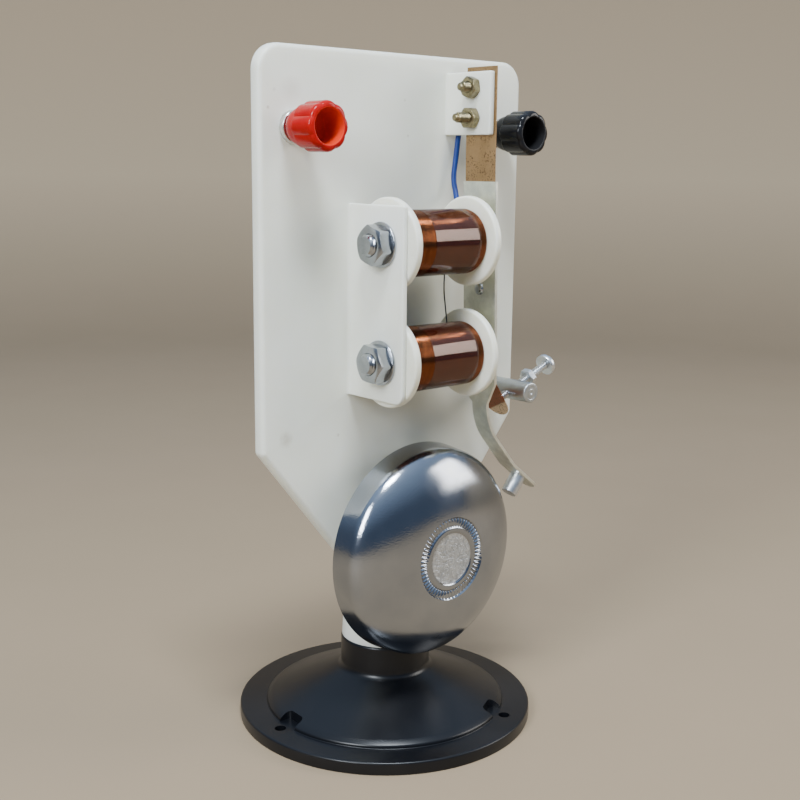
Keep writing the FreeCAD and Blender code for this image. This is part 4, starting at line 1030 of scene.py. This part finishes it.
def arm_stations():
    """The arm's left face as (x, z, turn) before it leans out, in short steps from start to tip."""
    x, z, turn = ARMATURE_LEFT, ARM_START, 0.0
    found = [(x, z, turn)]
    for radius, sweep, straight in zip(ARM_RADII, ARM_TURNS, ARM_STRAIGHTS):
        centre_x = x + radius * math.cos(turn)
        centre_z = z + radius * math.sin(turn)
        for step in range(1, ARM_BEND_STEPS + 1):
            now = turn + sweep * step / ARM_BEND_STEPS
            found.append((centre_x - radius * math.cos(now), centre_z - radius * math.sin(now), now))
        x, z, turn = found[-1]
        for sine, _ in quarter(ARM_STRAIGHT_STEPS)[1:]:
            reach = straight * sine
            found.append((x + math.sin(turn) * reach, z - math.cos(turn) * reach, turn))
        x, z, turn = found[-1]
    return found


def make_armature():
    """The iron strip: wide plate before the poles, tapered shoulder and curved arm with a round end."""
    front = ARMATURE_Y - ARMATURE_HALF
    back = ARMATURE_Y + ARMATURE_HALF
    front_slope = (ARM_Y - ARM_HALF - front) / (ARMATURE_CHAMFER - ARM_START)
    back_slope = (back - ARM_Y - ARM_HALF) / (ARMATURE_CORNER - ARM_START)
    stations = []
    heights = [ARMATURE_TOP, ARMATURE_TOP - 0.3, 140.0, 120.0, ARMATURE_CHAMFER + 0.1]
    heights += [ARMATURE_CHAMFER - 0.1, 102.0, ARMATURE_CORNER + 0.1, ARMATURE_CORNER - 0.1, 99.0]
    for z in heights:
        near = front + max(ARMATURE_CHAMFER - z, 0.0) * front_slope
        far = back - max(ARMATURE_CORNER - z, 0.0) * back_slope
        stations.append((ARMATURE_LEFT, z, 0.0, near, far))
    arm = arm_stations()
    tip_x, tip_z, _ = arm[-1]
    for x, z, turn in arm:
        left = math.hypot(tip_x - x, tip_z - z)
        half = ARM_HALF if left > ARM_HALF else math.sqrt(max(ARM_HALF**2 - (ARM_HALF - left) ** 2, 0.04))
        stations.append((x, z, turn, ARM_Y - half, ARM_Y + half))
    leaned = [(*lean_out(x, z), turn + HAMMER_LEAN, near, far) for x, z, turn, near, far in stations]
    bm = bmesh.new()
    strip(bm, leaned, ARMATURE_THICKNESS, ARMATURE_BEVEL)
    return finish_mesh("armature_look", bm)


dress(make_armature(), strip_zinc, "hammer")

CLAPPER_FROM_BEND = 5.4
CLAPPER_RADIUS = 2.5
CLAPPER_LENGTH = 6.4
CLAPPER_SHANK = 1.2
CLAPPER_RIVET = 1.75
CLAPPER_RIVET_HEIGHT = 0.7


def make_clapper():
    """The striker on the arm's left side, with its shank and rivet head through the arm."""
    bend_x, bend_z, turn = arm_stations()[-1 - ARM_STRAIGHT_STEPS]
    reach = CLAPPER_FROM_BEND
    seat_x, seat_z = lean_out(bend_x + reach * math.sin(turn), bend_z - reach * math.cos(turn))
    leaned = turn + HAMMER_LEAN
    outward = Vector((math.cos(leaned), 0, math.sin(leaned)))
    top = ARMATURE_THICKNESS + CLAPPER_RIVET_HEIGHT
    corners = [
        (0, -CLAPPER_LENGTH, 0), (CLAPPER_RADIUS, -CLAPPER_LENGTH, 0.25), (CLAPPER_RADIUS, 0, 0.1),
        (CLAPPER_SHANK, 0, 0), (CLAPPER_SHANK, ARMATURE_THICKNESS, 0), (CLAPPER_RIVET, ARMATURE_THICKNESS, 0),
        (CLAPPER_RIVET * 0.7, top, 0.3), (0, top, 0),
    ]
    return lathe_piece("clapper_look", rounded(corners, 4), Vector((seat_x, ARM_Y, seat_z)), outward, 64)


dress(make_clapper(), zinc, "hammer")

RIVET_HEIGHTS = (152.4, 131.7)
RIVET_DOME = ((0.0, 0.80), (0.75, 0.74), (1.35, 0.5), (1.75, 0.15), (1.8, 0.0), (0.0, 0.0))


def make_rivets():
    """The two rivets' round heads, on the armature's left face and on the leaf's right face."""
    bm = bmesh.new()
    outward = Vector((math.cos(HAMMER_LEAN), 0, math.sin(HAMMER_LEAN)))
    for height in RIVET_HEIGHTS:
        for face, side in ((ARMATURE_LEFT, -1), (LEAF_LEFT + LEAF_THICKNESS, 1)):
            x, z = lean_out(face, height)
            lathe(bm, RIVET_DOME, Vector((x, ARMATURE_Y, z)), outward * side, 40)
    return finish_mesh("armature_rivets_look", bm)


dress(make_rivets(), shaded_zinc, "hammer")

# ---- screws and nuts
HEAD_SLOT = 0.8
HEAD_SLOT_DEPTH = 0.9
HEAD_SLOT_EDGE = 0.08
HEAD_CROWN_SHARE = 0.42
SCREW_PITCH = 0.5
SCREW_CHAMFER = 0.25


def pan_head(bm, radius, height, origin, axis, spin):
    """A pan head with a straight slot, built as one closed skin over a grid of rings."""
    crown = radius * HEAD_CROWN_SHARE
    inner = radius - crown
    floor = height - HEAD_SLOT_DEPTH
    outline = [(0.0, 0.0), (radius - 0.05, 0.0), (radius, 0.08), (radius, height - crown)]
    outline += [(inner + crown * cosine, height - crown + crown * sine) for sine, cosine in quarter(6)[1:]]
    outline += [(inner * (1 - step / 8), height) for step in range(1, 9)]

    def slotted(r, h):
        def rise(angle):
            to_side = HEAD_SLOT / 2 - abs(r * math.sin(angle))
            inside = max(0.0, min(1.0, to_side / HEAD_SLOT_EDGE + 0.5))
            return h - max(h - floor, 0.0) * inside
        return rise

    lathe(bm, [(r, slotted(r, h)) for r, h in outline], origin, axis, spin=spin)


def screw(bm, radius, length, thread_end, tip, head, head_spin, start, axis):
    """A screw with a thread from its head's seat to thread_end before its end, and then its tip, rings
    of (radius, distance before the end). head is the pan head's radius and height."""
    rings = thread_rings(radius, SCREW_PITCH, 0.0, length - thread_end, SCREW_CHAMFER)
    rings += [ring_of(40, r, length - before) for r, before in tip]
    skin_along(bm, rings, start, -axis)
    pan_head(bm, *head, start, axis, head_spin)


CLAMP_Y = -16.0
# Each clamp screw is (height, how far it stands out of the ear, its nut's turn).
CLAMP_SCREWS = ((189.0, 5.6, 10.0), (180.5, 7.3, 28.0))
CLAMP_RADIUS = 1.5
CLAMP_THREAD_END = 1.0
CLAMP_TIP = ((1.08, 0.95), (1.05, 0.2), (0.8, 0.0))
CLAMP_HEAD = (2.8, 1.9)
CLAMP_NUT = (5.5, 2.4)


def make_clamp_screws():
    """Two slotted screws through the leaf and the ear, each with a thinner plain tip."""
    bm = bmesh.new()
    for height, projection, _ in CLAMP_SCREWS:
        start = Vector((LEAF_LEFT + LEAF_THICKNESS, CLAMP_Y, height))
        length = LEAF_THICKNESS + EAR_THICKNESS + projection
        screw(bm, CLAMP_RADIUS, length, CLAMP_THREAD_END, CLAMP_TIP, CLAMP_HEAD, 35.0, start, X_AXIS)
    return finish_mesh("clamp_screws_look", bm)


def make_clamp_nuts():
    bm = bmesh.new()
    for height, _, spin in CLAMP_SCREWS:
        seat = Vector((EAR_LEFT, CLAMP_Y, height))
        hex_nut(bm, *CLAMP_NUT, CLAMP_RADIUS - 0.1, seat, -X_AXIS, spin, corner_cut=0.06)
    return finish_mesh("clamp_nuts_look", bm)


dress(make_clamp_screws(), brass)
dress(make_clamp_nuts(), brass)

# ---- contact post and screw
POST_X = 35.4
POST_Z = 99.8
POST_CENTRE = Vector((POST_X, LEAF_Y, POST_Z))
POST_RADIUS = 3.1
POST_LENGTH = 20.65
CONTACT_ANGLE = math.radians(22.6)
CONTACT_AXIS = Vector((math.cos(CONTACT_ANGLE), 0, math.sin(CONTACT_ANGLE)))
CONTACT_RADIUS = 1.25
CONTACT_HEAD_AT = 15.5
CONTACT_HEAD = (3.3, 2.3)
CONTACT_THREAD_END = 1.2
CONTACT_TIP = ((0.85, 1.1), (0.6, 0.5), (0.36, 0.05), (0.3, 0.0))
POST_DRILL = 6.0
LOCK_NUT_AT = 6.8
LOCK_NUT = (5.0, 1.8)


def make_post():
    """The turned post, with tool rings and a pip on its front end."""
    start = Vector((POST_X, PANEL_FRONT, POST_Z))
    corners = [
        (0, 0, 0), (POST_RADIUS, 0, 0), (POST_RADIUS, POST_LENGTH, 0.4), (2.1, POST_LENGTH, 0.1),
        (2.0, POST_LENGTH - 0.07, 0.05), (1.2, POST_LENGTH - 0.05, 0.05), (1.1, POST_LENGTH, 0.05),
        (0.5, POST_LENGTH, 0.1), (0.35, POST_LENGTH - 0.2, 0.05), (0, POST_LENGTH - 0.22, 0),
    ]
    post = lathe_piece("contact_post_look", rounded(corners, 4), start, -Y_AXIS)
    bore = CONTACT_RADIUS + 0.08
    drill = [(0, -POST_DRILL), (bore, -POST_DRILL), (bore, POST_DRILL), (0, POST_DRILL)]
    tool = lathe_piece("post_bore", drill, POST_CENTRE, CONTACT_AXIS, 48)
    return boolean(post, [tool], "DIFFERENCE")


def make_contact_screw():
    """The adjusting screw: thin tip at the tab, thread through the post, slotted pan head."""
    low, _ = node_box("contact_screw")
    tip_reach = (POST_X - low.x - CONTACT_TIP[-1][0] * CONTACT_AXIS.z) / CONTACT_AXIS.x
    start = POST_CENTRE + CONTACT_AXIS * CONTACT_HEAD_AT
    length = CONTACT_HEAD_AT + tip_reach
    bm = bmesh.new()
    screw(
        bm, CONTACT_RADIUS, length, CONTACT_THREAD_END, CONTACT_TIP, CONTACT_HEAD, 20.0, start, CONTACT_AXIS)
    return finish_mesh("contact_screw_look", bm)


def make_lock_nut():
    bm = bmesh.new()
    seat = POST_CENTRE + CONTACT_AXIS * LOCK_NUT_AT
    hex_nut(bm, *LOCK_NUT, CONTACT_RADIUS - 0.1, seat, CONTACT_AXIS, 30.0, corner_cut=0.06)
    return finish_mesh("lock_nut_look", bm)


dress(make_post(), post_zinc)
dress(make_contact_screw(), zinc, "contact_screw")
dress(make_lock_nut(), zinc, "lock_nut")

# ---- terminals
COLLAR_RADIUS = 4.4
COLLAR_LENGTH = 1.9
CAP_GAP = 0.2
CAP_LENGTH = 13.9
CAP_REAR_RADIUS = 5.2
CAP_REAR_FACE_RADIUS = 2.9
CAP_REAR_DOME = 3.7
CAP_FRONT_RADIUS = 6.5
CAP_FRONT_ROUND = 1.2
CAP_STEP = 5.2
CAP_STEP_HEIGHT = 0.8
CAP_WEB = 1.0
CAP_SEGMENTS = 240
LOBE_COUNT = 8
LOBE_RADIUS = 3.5
RECESS_RADIUS = 4.7
RECESS_DEPTH = 7.6
RECESS_DRAFT = 0.3
STUD_RADIUS = 2.0
STUD_PITCH = 0.7
STUD_CHAMFER = 0.4
STUD_CLEARANCE = 0.05
STUD_HOLE_RADIUS = 2.3
TAG_THICKNESS = 0.5
TERMINAL_WASHER = (4.5, 0.8)
TERMINAL_NUT = (7.0, 3.0)
TERMINAL_NUT_SPINS = {"red": 8.0, "black": 21.0}


def lobed_reach(angle, crest):
    """The distance from the cap's axis to its grip's surface, for lobes that reach out to crest."""
    middle = CAP_FRONT_RADIUS - LOBE_RADIUS
    step = math.tau / LOBE_COUNT
    away = (angle + step / 2) % step - step / 2
    inside = (crest - middle) ** 2 - (middle * math.sin(away)) ** 2
    return max(CAP_REAR_RADIUS, middle * math.cos(away) + math.sqrt(max(inside, 0.0)))


def make_cap(name, x, z):
    """A cap with a round rear half and a lobed front half round a blind recess."""
    front = CAP_FRONT_RADIUS
    rear = CAP_REAR_RADIUS
    dome = rear - CAP_REAR_FACE_RADIUS
    floor = CAP_LENGTH - RECESS_DEPTH
    outline = [(CAP_REAR_FACE_RADIUS + dome * s, CAP_REAR_DOME * (1 - c)) for s, c in quarter(12)]
    outline += rounded([
        (rear, CAP_STEP - 0.1, 0.2), (front, CAP_STEP + CAP_STEP_HEIGHT, 0.5),
        (front, CAP_LENGTH, CAP_FRONT_ROUND), (RECESS_RADIUS, CAP_LENGTH, 0.2),
        (RECESS_RADIUS - RECESS_DRAFT, floor, 0.4), (0, floor, 0), (0, floor - CAP_WEB, 0),
        (STUD_HOLE_RADIUS, floor - CAP_WEB, 0), (STUD_HOLE_RADIUS, 0, 0.15),
    ], 7)

    def lobed(r):
        return (lambda angle: lobed_reach(angle, r)) if r > rear else r

    seat = Vector((x, PANEL_FRONT - COLLAR_LENGTH - CAP_GAP, z))
    return lathe_piece(name, [(lobed(r), h) for r, h in outline], seat, -Y_AXIS, CAP_SEGMENTS, 30.0)


def make_stud(name, x, z):
    low, high = node_box(name.removesuffix("_look"))
    bm = bmesh.new()
    rings = thread_rings(
        STUD_RADIUS, STUD_PITCH, low.y - PANEL_FRONT, high.y - PANEL_FRONT, STUD_CHAMFER, segments=48)
    skin_along(bm, rings, Vector((x, PANEL_FRONT, z)), Y_AXIS)
    return finish_mesh(name, bm)


for colour, surface in (("red", red_plastic), ("black", black_plastic)):
    centre = node_centre(colour + "_stud")
    dress(make_cap(colour + "_cap_look", centre.x, centre.z), surface, colour + "_cap")
    dress(make_stud(colour + "_stud_look", centre.x, centre.z), brass)

bm_collars = bmesh.new()
bm_terminal_washers = bmesh.new()
bm_terminal_nuts = bmesh.new()
for colour, spin in TERMINAL_NUT_SPINS.items():
    centre = node_centre(colour + "_stud")
    bore = STUD_RADIUS + STUD_CLEARANCE
    collar = [
        (bore, 0, 0), (COLLAR_RADIUS, 0, 0.2), (COLLAR_RADIUS, COLLAR_LENGTH, 0.35),
        (bore, COLLAR_LENGTH, 0.1),
    ]
    lathe(bm_collars, rounded(collar, 4), Vector((centre.x, PANEL_FRONT, centre.z)), -Y_AXIS)
    behind = Vector((centre.x, PANEL_FRONT + PANEL_THICKNESS + TAG_THICKNESS, centre.z))
    radius, thickness = TERMINAL_WASHER
    washer(bm_terminal_washers, radius, bore, thickness, behind, Y_AXIS)
    hex_nut(bm_terminal_nuts, *TERMINAL_NUT, STUD_RADIUS - 0.1, behind + Y_AXIS * thickness, Y_AXIS, spin)
dress(finish_mesh("terminal_collars_look", bm_collars), nickel)
dress(finish_mesh("terminal_washers_look", bm_terminal_washers), nickel)
dress(finish_mesh("terminal_nuts_look", bm_terminal_nuts), nickel)

# ---- blue lead
LEAD_DIAMETER = 1.6
lead_points = [
    (20.5, -12.1, 181.6), (20.5, -8.4, 181.2), (20.5, -7.2, 176.2), (19.85, -7.0, 169.2), (18.8, -7.0, 163.2),
    (18.6, -8.9, 158.2), (15.7, -12.6, 153.6),
]
dress(tube_curve("blue_lead_look", lead_points, LEAD_DIAMETER), blue_pvc)

# ---- CAD nodes that keep their own mesh
kept = {
    "bell_post": zinc, "bell_post_washer": zinc, "bell_post_nut": zinc, "post_washer": zinc,
    "post_screw": zinc, "red_insert": brass, "black_insert": brass, "solder_tags": tinned,
    "lead_ends": tinned,
}
for node, surface in kept.items():
    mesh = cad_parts[node].data
    mesh.materials.clear()
    mesh.materials.append(surface.material)

# ---- stage, light and camera
CAMERA_PLACE = Vector((-231.49, -268.97, 167.71))
CAMERA_AZIMUTH = -0.72139
CAMERA_PITCH = 0.19399
CAMERA_ROLL = 0.01076
CAMERA_FOCAL = 1206.85
FRAME_WIDTH = 800
SENSOR = 36.0
FLOOR_RADIUS = 800.0
FLOOR_CURVE = 500.0
WALL_TOP = 800.0
WALL_TONE_LINE = 0.15
# Each light is (name, place, size, power, colour).
LIGHTS = (
    ("window_top", (-200, -306, 900), (250, 160), 11.0, (0.86, 0.93, 1.0)),
    ("window_left", (-750, -250, 520), (240, 380), 8.0, (0.90, 0.95, 1.0)),
    ("fill_right", (650, -500, 420), (400, 400), 4.0, (1.0, 0.96, 0.90)),
)
LIGHT_TARGET = Vector((0, 0, 100))


def make_stage():
    """A pale warm floor, curved up into a wall behind the object and low in front of it."""
    pale = Surface("stage_pale", Roughness=0.8)
    tone = pale.mix(pale.noise(60, 3), (0.275, 0.205, 0.128), (0.295, 0.220, 0.140))
    pale.color(pale.mix(pale.ramp(pale.along("Z"), 0.0, WALL_TONE_LINE), tone, (0.54, 0.415, 0.27)))
    profile = [(1.0, 0.0), (FLOOR_RADIUS, 0.0)]
    profile += [(FLOOR_RADIUS + FLOOR_CURVE * s, FLOOR_CURVE * (1 - c)) for s, c in quarter(16)[1:]]
    profile.append((FLOOR_RADIUS + FLOOR_CURVE, WALL_TOP))

    def raised(height):
        return lambda angle: height * max(0.0, math.cos(angle - math.pi / 2 - CAMERA_AZIMUTH)) ** 0.5

    bm = bmesh.new()
    skin(bm, [ring_of(96, radius, raised(height)) for radius, height in profile], caps=False)
    floor = finish_mesh("stage_floor", bm, 80.0)
    floor.data.materials.append(pale.material)


def make_light(name, place, size, power, color):
    data = bpy.data.lights.new(name, "AREA")
    data.shape = "RECTANGLE"
    data.size = size[0] * MM
    data.size_y = size[1] * MM
    data.energy = power
    data.color = color
    light = bpy.data.objects.new(name, data)
    light.location = Vector(place) * MM
    aim = (LIGHT_TARGET - Vector(place)).normalized()
    light.rotation_mode = "QUATERNION"
    light.rotation_quaternion = aim.to_track_quat("-Z", "Y")
    bpy.context.scene.collection.objects.link(light)


def make_world():
    """A dim bluish room, lighter overhead."""
    world = bpy.data.worlds.new("studio")
    world.use_nodes = True
    tree = world.node_tree
    direction = tree.nodes.new("ShaderNodeTexCoord")
    parts = tree.nodes.new("ShaderNodeSeparateXYZ")
    tree.links.new(direction.outputs["Generated"], parts.inputs[0])
    ramp = tree.nodes.new("ShaderNodeValToRGB")
    low, high = ramp.color_ramp.elements
    low.position = 0.22
    low.color = (0.11, 0.15, 0.22, 1)
    high.position = 0.88
    high.color = (0.60, 0.78, 1.05, 1)
    tree.links.new(parts.outputs[2], ramp.inputs[0])
    background = tree.nodes["Background"]
    background.inputs["Strength"].default_value = 1.0
    tree.links.new(ramp.outputs[0], background.inputs["Color"])
    bpy.context.scene.world = world


def make_camera():
    data = bpy.data.cameras.new("camera")
    data.sensor_width = SENSOR
    data.lens = CAMERA_FOCAL / FRAME_WIDTH * SENSOR
    data.clip_start = 0.01
    data.clip_end = 20
    camera = bpy.data.objects.new("camera", data)
    turn = Matrix.Rotation(CAMERA_AZIMUTH, 4, "Z") @ Matrix.Rotation(math.pi / 2 - CAMERA_PITCH, 4, "X")
    roll = Matrix.Rotation(CAMERA_ROLL, 4, "Z")
    camera.matrix_world = Matrix.Translation(CAMERA_PLACE * MM) @ turn @ roll
    bpy.context.scene.collection.objects.link(camera)
    bpy.context.scene.camera = camera


make_stage()
make_world()
for light in LIGHTS:
    make_light(*light)
make_camera()
